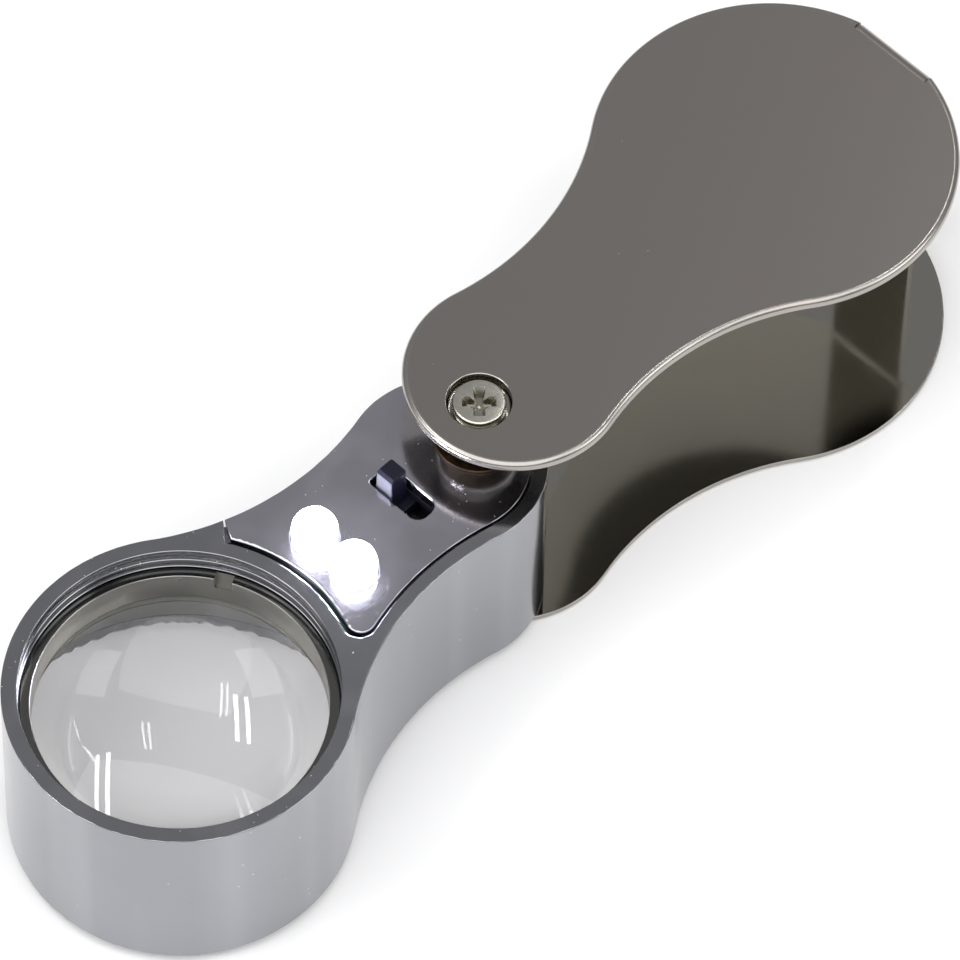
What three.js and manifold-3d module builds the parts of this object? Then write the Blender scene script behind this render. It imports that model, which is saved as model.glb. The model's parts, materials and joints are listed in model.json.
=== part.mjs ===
// Folding illuminated loupe: a glazed head that swings out of a U-shaped sheet-metal cover.
// Millimetres, +Z up. The pivot axis is the working origin while the pieces are made; the finished
// group is shifted so that its origin is the middle of the footprint, on the surface it stands on.
// The cover lies towards +X, the open head towards -X.

import * as THREE from 'three';
import { mergeVertices } from 'three/addons/utils/BufferGeometryUtils.js';
import Module from 'manifold-3d';

const wasm = await Module();
wasm.setup();

// ---- driving dimensions ------------------------------------------------------------------------

// Cover: one strip of sheet, cut as two pear outlines joined by a bridge and bent into a U.
const SHEET = 0.8;
const COVER_HEIGHT = 25.2;
const COVER = { smallR: 9.6, bigR: 16.05, spacing: 32.2, waistR: 25.7, smallX: 4.3, towards: 1 };
const BRIDGE_HALF_WIDTH = 4.1;
const BRIDGE_BEND = 1.2;
const BRIDGE_X = 52.25;

// Head: the lens barrel and the neck that ends round the pivot.
const HEAD_BOTTOM = 1.0;
const HEAD_TOP = 19.95;
const HEAD = { smallR: 8.7, bigR: 15.0, spacing: 31.9, waistR: 26.2, smallX: -3.9, towards: -1 };
const LENS_X = HEAD.smallX - HEAD.spacing;
const BORE_R = 13.6;
const LIP_R = 12.4;
const LIP_HEIGHT = 2.0;
const FLOOR = 1.2;
const WALL = 1.6;
const BOSS_R = 4.4;

// Lens stack, from the top: threaded ring, lens, sleeve standing on the bore's lip.
const STACK_R = 13.5;
const CLEAR_R = 12.6;
const RING_DROP = 2.35;
const RING_HEIGHT = 3.2;
const NOTCH = { width: 1.6, depth: 1.25, turn: 28.5 };
const LENS_R = 13.35;
const LENS_RADIUS = 34;
const LENS_SEAT_THICKNESS = 3.0;

// Pivot: a threaded brass post clamped between the two plates by a screw at each end.
const DIMPLE_R = 2.8;
const DIMPLE_DEPTH = 1.0;
const DIMPLE_WALL = 0.7;
const SCREW_HEAD_R = 2.3;
const SCREW_HEAD_HEIGHT = 0.95;
const SCREW_SHANK_R = 1.2;
const SCREW_LENGTH = 6.0;
const POST_R = 2.6;
const POST_COLLAR_R = 3.3;
const POST_BORE_R = 1.3;
const PIVOT_CLEARANCE = 0.15;
const WASHER_R = 3.9;
const WASHER_HEIGHT = 0.25;

// Light unit: panel, two lamps, board, slide switch.
const PANEL_HEIGHT = 1.2;
const RIM = 1.25;
const SEAM = 0.06;
const PANEL_FILLET = 1.5;
const PANEL_FAR_CORNER = { x: -20.8, y: 7.5 };
const RIM_START = Math.PI / 4;
const LAMP_X = -17.1;
const LAMP_Y = 0.3;
const LAMP_PITCH = 4.7;
const LAMP_R = 2.0;
const LAMP_STAND = 3.0;
const LEAD_OFFSET = 1.2;
const SWITCH_X = -8.75;
const SWITCH_Y = 0.3;
const SWITCH_TRAVEL = 3.0;
const KNOB = { x: 2.0, y: 2.2, stand: 2.0 };
const SLOT = { x: 2.4, y: 5.8, corner: 0.3, roundCorner: 0.95 };
const BOARD_BOTTOM = 15.1;
const BOARD_HEIGHT = 0.8;

// Power: three button cells in a tube, sprung against a clip-in door in the neck's floor.
const CELL_R = 4.75;
const CELL_HEIGHT = 2.7;
const CELL_COUNT = 3;
const CELL_X = -12.7;
const CELL_TOP = 13.9;
const HOLDER_INNER_R = 4.95;
const HOLDER_R = 5.8;
const HOLDER_BOTTOM = 3.6;
const DOOR = { x: 12.6, y: 10.2, corner: 1.5 };

const BARREL_ROUND = 48;
const SMALL_ROUND = 24;
const EASE = 0.25;
const GAP = 0.1;
const TOUCH = 0.02;
const PAST = 1;

const RING_TOP = HEAD_TOP - RING_DROP;
const SEAT_TOP = RING_TOP - RING_HEIGHT;
const SEAT_BOTTOM = SEAT_TOP - LENS_SEAT_THICKNESS;
const PANEL_BOTTOM = HEAD_TOP - PANEL_HEIGHT;
const BOARD_TOP = BOARD_BOTTOM + BOARD_HEIGHT;
const POST_TOP = COVER_HEIGHT - DIMPLE_DEPTH - SHEET - TOUCH;
const POST_BOTTOM = DIMPLE_DEPTH + SHEET + TOUCH;

// ---- solids ------------------------------------------------------------------------------------

/** A closed geometry as a solid: merged corners, faces out. */
function solid(geometry) {
  const bare = geometry.clone();
  bare.deleteAttribute('normal');
  bare.deleteAttribute('uv');
  const merged = mergeVertices(bare, 1e-4);
  const corners = merged.attributes.position.array;
  const faces = [];
  const index = merged.index.array;
  let volume = 0;
  const [a, b, c] = [new THREE.Vector3(), new THREE.Vector3(), new THREE.Vector3()];
  for (let i = 0; i < index.length; i += 3) {
    const [p, q, r] = [index[i], index[i + 1], index[i + 2]];
    if (p === q || q === r || r === p) continue;
    faces.push(p, q, r);
    a.fromArray(corners, 3 * p);
    b.fromArray(corners, 3 * q);
    c.fromArray(corners, 3 * r);
    volume += a.dot(b.cross(c));
  }
  if (volume < 0) faces.reverse();
  const mesh = new wasm.Mesh({
    numProp: 3,
    vertProperties: Float32Array.from(corners),
    triVerts: Uint32Array.from(faces),
  });
  return new wasm.Manifold(mesh);
}

/** The first solid joined with the others. */
function join(first, ...others) {
  return others.reduce((sum, other) => sum.add(other), first);
}

/** The first solid with the others cut away. */
function cut(first, ...others) {
  return others.reduce((rest, other) => rest.subtract(other), first);
}

/** A named mesh holding one solid. */
function piece(name, shape, finish) {
  const { vertProperties, triVerts } = shape.getMesh();
  const geometry = new THREE.BufferGeometry();
  geometry.setAttribute('position', new THREE.BufferAttribute(new Float32Array(vertProperties), 3));
  geometry.setIndex(new THREE.BufferAttribute(new Uint32Array(triVerts), 1));
  geometry.computeVertexNormals();
  const mesh = new THREE.Mesh(geometry, new THREE.MeshStandardMaterial(finish));
  mesh.name = name;
  return mesh;
}

/** A solid turned about the vertical line at (x, y), from a profile of [radius, height] pairs. */
function turned(profile, x = 0, y = 0, steps = SMALL_ROUND) {
  const points = profile.map(([radius, height]) => new THREE.Vector2(radius, height));
  const geometry = new THREE.LatheGeometry(points, steps);
  geometry.rotateX(Math.PI / 2);
  geometry.translate(x, y, 0);
  return solid(geometry);
}

/** A plain upright cylinder between two heights. */
function rod(radius, bottom, top, x = 0, y = 0, steps = SMALL_ROUND) {
  return turned([[0, bottom], [radius, bottom], [radius, top], [0, top]], x, y, steps);
}

/** A flat ring between two heights. */
function ring(inner, outer, bottom, top, x = 0, y = 0, steps = SMALL_ROUND) {
  const profile = [[inner, bottom], [outer, bottom], [outer, top], [inner, top], [inner, bottom]];
  return turned(profile, x, y, steps);
}

/** A box from its centre in plan, its plan sizes and its two heights. */
function block(x, y, width, length, bottom, top) {
  const geometry = new THREE.BoxGeometry(width, length, top - bottom);
  geometry.translate(x, y, (bottom + top) / 2);
  return solid(geometry);
}

/** An upright prism of a plan outline, with its top and bottom edges eased by `ease`. */
function prism(outline, bottom, top, ease = 0) {
  const geometry = new THREE.ExtrudeGeometry(new THREE.Shape(outline), {
    depth: top - bottom - 2 * ease,
    steps: 1,
    bevelEnabled: ease > 0,
    bevelThickness: ease,
    bevelSize: ease,
    bevelOffset: -ease,
    bevelSegments: 1,
  });
  geometry.translate(0, 0, bottom + ease);
  return solid(geometry);
}

/** A strip of a side outline drawn in X and Z, `width` wide across Y and centred on `y`. */
function strip(outline, y, width) {
  const geometry = new THREE.ExtrudeGeometry(new THREE.Shape(outline), {
    depth: width,
    steps: 1,
    bevelEnabled: false,
  });
  geometry.rotateX(Math.PI / 2);
  geometry.translate(0, y + width / 2, 0);
  return solid(geometry);
}

/** A round wire of the given radius along a curve. */
function wire(curve, radius, steps) {
  const section = new THREE.Shape(arc(new THREE.Vector2(), radius, 0, 2 * Math.PI, 8).slice(1));
  return solid(new THREE.ExtrudeGeometry(section, { steps, extrudePath: curve, bevelEnabled: false }));
}

// ---- plan outlines -----------------------------------------------------------------------------

/** Points of an arc, both ends included. */
function arc(centre, radius, from, to, steps) {
  const points = [];
  for (let i = 0; i <= steps; i += 1) {
    const angle = from + ((to - from) * i) / steps;
    points.push(new THREE.Vector2(
      centre.x + radius * Math.cos(angle),
      centre.y + radius * Math.sin(angle),
    ));
  }
  return points;
}

/** The point at distance ra from a and rb from b, left (+1) or right (-1) of the way from a to b. */
function meet(a, ra, b, rb, side) {
  const line = b.clone().sub(a);
  const length = line.length();
  const along = (length ** 2 + ra ** 2 - rb ** 2) / (2 * length);
  const across = side * Math.sqrt(ra ** 2 - along ** 2);
  line.normalize();
  return new THREE.Vector2(
    a.x + line.x * along - line.y * across,
    a.y + line.y * along + line.x * across,
  );
}

/** The angle at which `to` is seen from `from`. */
function bearing(from, to) {
  return Math.atan2(to.y - from.y, to.x - from.x);
}

/** The centres of a pear's two ends and of the hollow arc on the side given by `side`. */
function pearCentres(pear, side) {
  const small = new THREE.Vector2(pear.smallX, 0);
  const big = new THREE.Vector2(pear.smallX + pear.towards * pear.spacing, 0);
  const turn = side * pear.towards;
  const waist = meet(small, pear.smallR + pear.waistR, big, pear.bigR + pear.waistR, turn);
  return { small, big, waist };
}

/** A pear outline: a small round end and a big one, joined by hollow arcs tangent to both. */
function pearOutline(pear, inset = 0) {
  const { small, big, waist } = pearCentres({ ...pear, smallX: 0, towards: 1 }, 1);
  const mirrored = new THREE.Vector2(waist.x, -waist.y);
  const smallTangent = bearing(small, waist);
  const bigTangent = bearing(big, waist);
  const waistR = pear.waistR + inset;
  const outline = [
    ...arc(small, pear.smallR - inset, smallTangent, 2 * Math.PI - smallTangent, 20).slice(1),
    ...arc(mirrored, waistR, bearing(mirrored, small), bearing(mirrored, big), 7).slice(1),
    ...arc(big, pear.bigR - inset, -bigTangent, bigTangent, 34).slice(1),
    ...arc(waist, waistR, bearing(waist, big), bearing(waist, small), 7).slice(1),
  ];
  return outline.map((p) => new THREE.Vector2(pear.smallX + pear.towards * p.x, p.y));
}

/** A rectangle with rounded corners. */
function roundedRectangle(x, y, width, length, corner) {
  const outline = [];
  const signs = [[1, 1], [-1, 1], [-1, -1], [1, -1]];
  signs.forEach(([sx, sy], i) => {
    const centre = new THREE.Vector2(x + sx * (width / 2 - corner), y + sy * (length / 2 - corner));
    outline.push(...arc(centre, corner, (i * Math.PI) / 2, ((i + 1) * Math.PI) / 2, 6));
  });
  return outline;
}

/**
 * The inlaid panel's outline. Its barrel end follows the barrel's outside; on the -Y side and round
 * the pivot it lies inside the shell's rim, and on the +Y side it runs out past the head's outline,
 * where the head's own side trims it.
 */
function panelOutline(seam) {
  const near = pearCentres(HEAD, -1);
  const far = pearCentres(HEAD, 1);
  const barrelR = HEAD.bigR + seam;
  const rimWaistR = HEAD.waistR + RIM + seam;
  const rimEndR = HEAD.smallR - RIM - seam;
  const fillet = meet(near.waist, rimWaistR + PANEL_FILLET, near.big, barrelR + PANEL_FILLET, -1);
  const farAngle = Math.asin(PANEL_FAR_CORNER.y / barrelR);
  const farWaistR = HEAD.waistR - PAST;
  const farWaistAngle = -Math.acos((PANEL_FAR_CORNER.x - far.waist.x) / farWaistR);
  const filletFrom = bearing(near.waist, fillet);
  return [
    ...arc(fillet, PANEL_FILLET, bearing(fillet, near.waist), bearing(fillet, near.big) - 2 * Math.PI, 6),
    ...arc(near.big, barrelR, bearing(near.big, fillet), farAngle, 18).slice(1),
    ...arc(far.waist, farWaistR, farWaistAngle, bearing(far.waist, far.small), 8),
    ...arc(far.small, HEAD.smallR + PAST, bearing(far.small, far.waist), RIM_START, 6).slice(1),
    ...arc(near.small, rimEndR, RIM_START, bearing(near.small, near.waist), 17),
    ...arc(near.waist, rimWaistR, bearing(near.waist, near.small), filletFrom, 8).slice(1, -1),
  ];
}

// ---- cover -------------------------------------------------------------------------------------

/** The side view of the bridge and its two bends. */
function bridgeProfile() {
  const reach = 3;
  const low = new THREE.Vector2(BRIDGE_X - BRIDGE_BEND, BRIDGE_BEND);
  const high = new THREE.Vector2(BRIDGE_X - BRIDGE_BEND, COVER_HEIGHT - BRIDGE_BEND);
  const start = BRIDGE_X - BRIDGE_BEND - reach;
  const inner = BRIDGE_BEND - SHEET;
  return [
    new THREE.Vector2(start, 0),
    ...arc(low, BRIDGE_BEND, -Math.PI / 2, 0, 6),
    ...arc(high, BRIDGE_BEND, 0, Math.PI / 2, 6),
    new THREE.Vector2(start, COVER_HEIGHT),
    new THREE.Vector2(start, COVER_HEIGHT - SHEET),
    ...arc(high, inner, Math.PI / 2, 0, 4),
    ...arc(low, inner, 0, -Math.PI / 2, 4),
    new THREE.Vector2(start, SHEET),
  ];
}

/** One plate of the cover, cut away where the bridge bends off it. */
function coverPlate(bottom) {
  const plate = prism(pearOutline(COVER), bottom, bottom + SHEET, EASE);
  const cutLength = 4;
  const cutX = BRIDGE_X - BRIDGE_BEND + cutLength / 2;
  return cut(plate, block(cutX, 0, cutLength, 2 * BRIDGE_HALF_WIDTH, bottom - PAST, bottom + SHEET + PAST));
}

/** The pressed screw dimple, as what it adds behind the sheet and what it takes out of it. */
function dimple() {
  const back = DIMPLE_DEPTH + SHEET;
  const rim = 0.25;
  return {
    boss: rod(DIMPLE_R + DIMPLE_WALL, SHEET / 2, back),
    hollow: turned([
      [0, -PAST],
      [DIMPLE_R + rim, -PAST],
      [DIMPLE_R + rim, 0],
      [DIMPLE_R, rim],
      [DIMPLE_R, DIMPLE_DEPTH],
      [POST_BORE_R, DIMPLE_DEPTH],
      [POST_BORE_R, back + PAST],
      [0, back + PAST],
    ]),
  };
}

/** The whole cover: two plates, the bridge and a dimple in each plate. */
function foldingCover() {
  const { boss, hollow } = dimple();
  const flip = (shape) => shape.rotate([180, 0, 0]).translate([0, 0, COVER_HEIGHT]);
  const sheet = join(
    coverPlate(0),
    coverPlate(COVER_HEIGHT - SHEET),
    strip(bridgeProfile(), 0, 2 * BRIDGE_HALF_WIDTH),
    boss,
    flip(boss),
  );
  return cut(sheet, hollow, flip(hollow));
}

/** The post that spaces the plates: a shaft through the neck with a collar above it. */
function pivotPost() {
  const shoulder = HEAD_TOP + WASHER_HEIGHT + 3 * TOUCH;
  return turned([
    [POST_BORE_R, POST_BOTTOM],
    [POST_R, POST_BOTTOM],
    [POST_R, shoulder],
    [POST_COLLAR_R, shoulder],
    [POST_COLLAR_R, POST_TOP],
    [POST_BORE_R, POST_TOP],
    [POST_BORE_R, POST_BOTTOM],
  ]);
}

/** A flat washer on the post, of the given outer radius, lying at `bottom`. */
function washer(outer, bottom) {
  return ring(POST_R + GAP, outer, bottom, bottom + WASHER_HEIGHT);
}

/** A cross-recessed pan-head screw, head up, with the underside of its head at `seat`. */
function pivotScrew(seat) {
  const top = seat + SCREW_HEAD_HEIGHT;
  const edge = 0.2;
  const body = turned([
    [0, seat - SCREW_LENGTH],
    [SCREW_SHANK_R, seat - SCREW_LENGTH],
    [SCREW_SHANK_R, seat],
    [SCREW_HEAD_R, seat],
    [SCREW_HEAD_R, top - edge],
    [SCREW_HEAD_R - edge, top],
    [0, top],
  ]);
  const slotWidth = 0.9;
  const slotLength = 2.9;
  const slotBottom = top - 0.6;
  const screw = cut(
    body,
    block(0, 0, slotWidth, slotLength, slotBottom, top + PAST),
    block(0, 0, slotLength, slotWidth, slotBottom, top + PAST),
  );
  return screw.rotate([0, 0, 45]);
}

// ---- head --------------------------------------------------------------------------------------

/** The chamber in the neck, between the barrel's wall and the boss round the pivot. */
function neckChamber(bottom, top, inset, clearance) {
  return cut(
    prism(pearOutline(HEAD, inset), bottom, top),
    rod(HEAD.bigR + clearance, bottom - PAST, top + PAST, LENS_X, 0, BARREL_ROUND),
    rod(BOSS_R + clearance, bottom - PAST, top + PAST),
  );
}

/** The head's outer form, before anything is cut out of it. */
function headBlank() {
  return prism(pearOutline(HEAD), HEAD_BOTTOM, HEAD_TOP, EASE);
}

/** The head's one-piece shell: barrel, neck, pivot boss, and the seats for everything in them. */
function headShell() {
  const below = HEAD_BOTTOM - PAST;
  const above = HEAD_TOP + PAST;
  const lipTop = HEAD_BOTTOM + LIP_HEIGHT;
  const mouth = 0.15;
  const bore = turned([
    [0, below],
    [LIP_R, below],
    [LIP_R, lipTop],
    [BORE_R, lipTop],
    [BORE_R, HEAD_TOP - mouth],
    [BORE_R + mouth, HEAD_TOP],
    [BORE_R + mouth, above],
    [0, above],
  ], LENS_X, 0, BARREL_ROUND);
  const counterboreTop = POST_BOTTOM + WASHER_HEIGHT + 2 * TOUCH;
  return cut(
    headBlank(),
    bore,
    neckChamber(HEAD_BOTTOM + FLOOR, PANEL_BOTTOM + PAST / 2, WALL, 0),
    prism(panelOutline(0), PANEL_BOTTOM, above),
    rod(POST_R + PIVOT_CLEARANCE, below, above),
    rod(DIMPLE_R + DIMPLE_WALL + 3 * PIVOT_CLEARANCE, below, counterboreTop),
    prism(roundedRectangle(CELL_X, 0, DOOR.x, DOOR.y, DOOR.corner), below, HEAD_BOTTOM + FLOOR + PAST / 2),
  );
}

/** The switch's slot: nearly square at the +Y end and round at the -Y end. */
function slotOutline() {
  const signs = [[1, 1], [-1, 1], [-1, -1], [1, -1]];
  return signs.flatMap(([sx, sy], i) => {
    const corner = sy > 0 ? SLOT.corner : SLOT.roundCorner;
    const centre = new THREE.Vector2(
      SWITCH_X + sx * (SLOT.x / 2 - corner),
      SWITCH_Y + sy * (SLOT.y / 2 - corner),
    );
    return arc(centre, corner, (i * Math.PI) / 2, ((i + 1) * Math.PI) / 2, 5);
  });
}

/** The inlaid panel, pierced for the post, the two lamps and the switch. */
function lampPanel() {
  const low = PANEL_BOTTOM - PAST;
  const high = HEAD_TOP + PAST;
  const lampHoles = lampPlaces().map((y) => rod(LAMP_R + GAP, low, high, LAMP_X, y));
  const plate = prism(panelOutline(SEAM), PANEL_BOTTOM + TOUCH, high).intersect(headBlank());
  return cut(
    plate,
    rod(POST_R + 2 * PIVOT_CLEARANCE, low, high),
    prism(slotOutline(), low, high),
    ...lampHoles,
  );
}

/** The ring that is screwed down on the lens, with two notches for a spanner. */
function retainingRing() {
  const past = 0.1;
  const notchX = (CLEAR_R + STACK_R) / 2;
  const notchLength = STACK_R - CLEAR_R + 2 * past;
  const notch = block(notchX, 0, notchLength, NOTCH.width, RING_TOP - NOTCH.depth, RING_TOP + PAST);
  const body = turned([
    [CLEAR_R, SEAT_TOP],
    [STACK_R, SEAT_TOP],
    [STACK_R, RING_TOP - 0.15],
    [STACK_R - 0.15, RING_TOP],
    [CLEAR_R + 0.1, RING_TOP],
    [CLEAR_R, RING_TOP - 0.1],
    [CLEAR_R, SEAT_TOP],
  ], 0, 0, BARREL_ROUND);
  return cut(body, notch, notch.rotate([0, 0, 180])).rotate([0, 0, NOTCH.turn]).translate([LENS_X, 0, 0]);
}

/** The depth of the lens face's dome between its middle and `radius`. */
function domeDepth(radius) {
  return LENS_RADIUS - Math.sqrt(LENS_RADIUS ** 2 - radius ** 2);
}

/** The lens: two equal domes meeting a ground cylindrical edge. */
function magnifierLens() {
  const steps = 7;
  const crown = [];
  for (let i = 0; i <= steps; i += 1) {
    const radius = (LENS_R * i) / steps;
    crown.push([radius, domeDepth(CLEAR_R) - domeDepth(radius)]);
  }
  const under = crown.map(([radius, rise]) => [radius, SEAT_BOTTOM + TOUCH - rise]);
  const over = crown.map(([radius, rise]) => [radius, SEAT_TOP - TOUCH + rise]).reverse();
  return turned([...under, ...over], LENS_X, 0, BARREL_ROUND);
}

// ---- light unit --------------------------------------------------------------------------------

/** The two lamps' places across the neck. */
function lampPlaces() {
  return [LAMP_Y + LAMP_PITCH / 2, LAMP_Y - LAMP_PITCH / 2];
}

/** A lamp: flanged body with a domed tip, and two leads that go through the board. */
function lamp(y) {
  const bottom = BOARD_TOP + TOUCH;
  const shoulder = HEAD_TOP + LAMP_STAND - LAMP_R;
  const dome = arc(new THREE.Vector2(0, shoulder), LAMP_R, 0, Math.PI / 2, 5);
  const profile = [
    [0, bottom],
    [LAMP_R + 0.2, bottom],
    [LAMP_R + 0.2, bottom + 0.8],
    [LAMP_R, bottom + 0.8],
    ...dome.map((p) => [Math.max(p.x, 0), p.y]).slice(0, -1),
    [0, shoulder + LAMP_R],
  ];
  const lead = (offset) => block(LAMP_X + offset, y, 0.45, 0.45, BOARD_BOTTOM - 0.6, bottom + 0.4);
  return join(turned(profile, LAMP_X, y, 20), lead(LEAD_OFFSET), lead(-LEAD_OFFSET));
}

/** The board, with a hole for each lamp lead. */
function circuitBoard() {
  const low = BOARD_BOTTOM - PAST;
  const high = BOARD_TOP + PAST;
  const holes = lampPlaces().flatMap((y) => [
    rod(0.4, low, high, LAMP_X + LEAD_OFFSET, y, 12),
    rod(0.4, low, high, LAMP_X - LEAD_OFFSET, y, 12),
  ]);
  return cut(
    neckChamber(BOARD_BOTTOM, BOARD_TOP, WALL + 0.25, 0.3),
    block(5, 0, 16, 20, low, high),
    ...holes,
  );
}

/** The series resistor: a waisted body on two leads bent down to the board. */
function seriesResistor() {
  const x = -13.6;
  const half = 1.5;
  const axis = BOARD_TOP + 1.0;
  const capEnd = 1.2;
  const profile = [
    [0, -half],
    [0.6, -half],
    [0.8, -capEnd],
    [0.65, -capEnd / 2],
    [0.65, capEnd / 2],
    [0.8, capEnd],
    [0.6, half],
    [0, half],
  ];
  const body = turned(profile, 0, 0, 12).rotate([90, 0, 0]).translate([x, 0, axis]);
  const lead = new THREE.CatmullRomCurve3([
    new THREE.Vector3(x, -2.9, BOARD_TOP + TOUCH),
    new THREE.Vector3(x, -2.75, axis - 0.25),
    new THREE.Vector3(x, -2.3, axis),
    new THREE.Vector3(x, 0, axis),
    new THREE.Vector3(x, 2.3, axis),
    new THREE.Vector3(x, 2.75, axis - 0.25),
    new THREE.Vector3(x, 2.9, BOARD_TOP + TOUCH),
  ]);
  const wholeLead = wire(lead, 0.25, 18);
  const aboveBoard = block(x, 0, 4, 12, BOARD_TOP + TOUCH, axis + 3);
  return join(body, wholeLead.intersect(aboveBoard));
}

/** The switch's case: open below, slotted above for the knob's stem. */
function switchCase() {
  const bottom = BOARD_TOP + TOUCH;
  const top = PANEL_BOTTOM - GAP / 2;
  const roof = 0.7;
  return cut(
    block(SWITCH_X, SWITCH_Y, 4.4, 9.0, bottom, top),
    block(SWITCH_X, SWITCH_Y, 3.5, 7.0, bottom - PAST, top - roof),
    block(SWITCH_X, SWITCH_Y, 2.3, 5.6, bottom, top + PAST),
  );
}

/** The switch's spring leaf: a bowed strip under the slider. */
function switchLeaf() {
  const thick = 0.15;
  const bottom = BOARD_TOP + 2 * TOUCH;
  const bow = [];
  const steps = 12;
  for (let i = 0; i <= steps; i += 1) {
    const t = i / steps;
    bow.push(new THREE.Vector2((t - 0.5) * 6.0, bottom + 0.45 * Math.sin(Math.PI * t)));
  }
  const under = bow.slice().reverse().map((p) => new THREE.Vector2(p.x, p.y + thick));
  return strip([...bow, ...under], 0, 1.6).rotate([0, 0, 90]).translate([SWITCH_X, SWITCH_Y, 0]);
}

/** The knob and the slider under it, at the end of the slot where the lamps are on. */
function switchKnob() {
  const y = SWITCH_Y + SWITCH_TRAVEL / 2;
  const sliderBottom = BOARD_TOP + 0.75;
  const sliderTop = PANEL_BOTTOM - 0.9;
  const outline = roundedRectangle(SWITCH_X, y, KNOB.x, KNOB.y, 0.25);
  return join(
    block(SWITCH_X, y, 3.2, 3.7, sliderBottom, sliderTop),
    prism(outline, sliderTop - 0.3, HEAD_TOP + KNOB.stand, 0.15),
  );
}

// ---- power -------------------------------------------------------------------------------------

/** One button cell: a can with a stepped, narrower cap at its lower end. */
function buttonCell(place) {
  const top = CELL_TOP - place * CELL_HEIGHT - TOUCH;
  const bottom = CELL_TOP - (place + 1) * CELL_HEIGHT + TOUCH;
  return turned([
    [0, bottom],
    [CELL_R - 0.9, bottom],
    [CELL_R - 0.9, bottom + 0.35],
    [CELL_R - 0.15, bottom + 0.45],
    [CELL_R, bottom + 0.6],
    [CELL_R, top - 0.15],
    [CELL_R - 0.15, top],
    [0, top],
  ], CELL_X);
}

/** The upper contact: a round plate on the top cell with a tab up to the board. */
function upperContact() {
  const bottom = CELL_TOP + TOUCH;
  return join(
    rod(CELL_R - 0.6, bottom, bottom + 0.2, CELL_X),
    block(CELL_X + 3.2, 0, 0.3, 2.0, bottom + 0.1, BOARD_BOTTOM - TOUCH),
  );
}

/** The lower contact: a cone of spring wire, its wide coil on the door. */
function contactSpring() {
  const wireR = 0.22;
  const bottom = HEAD_BOTTOM + FLOOR + wireR + 3 * TOUCH;
  const top = CELL_TOP - CELL_COUNT * CELL_HEIGHT - wireR - TOUCH;
  const turns = 3;
  const steps = turns * 9;
  const route = [];
  for (let i = 0; i <= steps; i += 1) {
    const t = i / steps;
    const radius = 3.6 - 2.0 * t;
    const angle = 2 * Math.PI * turns * t;
    const rise = Math.min(1, Math.max(0, (t - 0.15) / 0.7));
    route.push(new THREE.Vector3(
      CELL_X + radius * Math.cos(angle),
      radius * Math.sin(angle),
      bottom + (top - bottom) * rise,
    ));
  }
  return wire(new THREE.CatmullRomCurve3(route), wireR, steps);
}

/** The strip that carries the lower contact up to the board, beside the cells. */
function returnStrip() {
  const thick = 0.3;
  const x = CELL_X - HOLDER_R - 0.9;
  const foot = HEAD_BOTTOM + FLOOR + 0.5;
  const outline = [
    new THREE.Vector2(x, foot),
    new THREE.Vector2(x + 3.0, foot),
    new THREE.Vector2(x + 3.0, foot + thick),
    new THREE.Vector2(x + thick, foot + thick),
    new THREE.Vector2(x + thick, BOARD_BOTTOM - TOUCH),
    new THREE.Vector2(x, BOARD_BOTTOM - TOUCH),
  ];
  return strip(outline, 0, 1.8);
}

/** The door in the neck's floor: a plug with two tongues, a snap hook and a nail groove. */
function batteryDoor() {
  const top = HEAD_BOTTOM + FLOOR;
  const outline = roundedRectangle(CELL_X, 0, DOOR.x - 2 * GAP, DOOR.y - 2 * GAP, DOOR.corner - GAP);
  const edge = DOOR.x / 2;
  const tongue = (y) => block(CELL_X - edge + 0.6, y, 2.4, 1.6, top - 0.3, top + 0.7);
  const raised = (y) => cut(tongue(y), block(CELL_X - edge - 0.6, y, 1.2, 2, top - PAST, top + TOUCH));
  const hook = block(CELL_X + edge - 0.7, 0, 0.8, 3.0, top - 0.3, top + 1.0);
  const groove = block(CELL_X + edge - 1.6, 0, 0.7, 5.0, HEAD_BOTTOM - PAST, HEAD_BOTTOM + 0.4);
  return cut(
    join(prism(outline, HEAD_BOTTOM, top), raised(3.2), raised(-3.2), hook),
    groove,
  );
}

// ---- finishes ----------------------------------------------------------------------------------

const SATIN_STEEL = { color: '#6d6a66', roughness: 0.35, metalness: 1 };
const SCREW_STEEL = { color: '#a8a49d', roughness: 0.25, metalness: 1 };
const CHROME = { color: '#b4b6bd', roughness: 0.12, metalness: 1 };
const BRASS = { color: '#a8874a', roughness: 0.3, metalness: 1 };
const PALE_METAL = { color: '#a09e94', roughness: 0.4, metalness: 1 };
const DARK_METAL = { color: '#5c5d57', roughness: 0.45, metalness: 1 };
const GLASS = { color: '#eef2f2', roughness: 0.02, metalness: 0 };
const LAMP_RESIN = { color: '#f4f6ff', roughness: 0.1, metalness: 0 };
const BOARD_RESIN = { color: '#2c5b3a', roughness: 0.5, metalness: 0 };
const RESISTOR_LACQUER = { color: '#b9a37c', roughness: 0.4, metalness: 0 };
const NAVY_PLASTIC = { color: '#1c1b2e', roughness: 0.4, metalness: 0 };
const BLACK_PLASTIC = { color: '#16161a', roughness: 0.5, metalness: 0 };
const CELL_STEEL = { color: '#b9b9ba', roughness: 0.3, metalness: 1 };
const SPRING_STEEL = { color: '#9a9a98', roughness: 0.3, metalness: 1 };

// ---- assembly ----------------------------------------------------------------------------------

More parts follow.
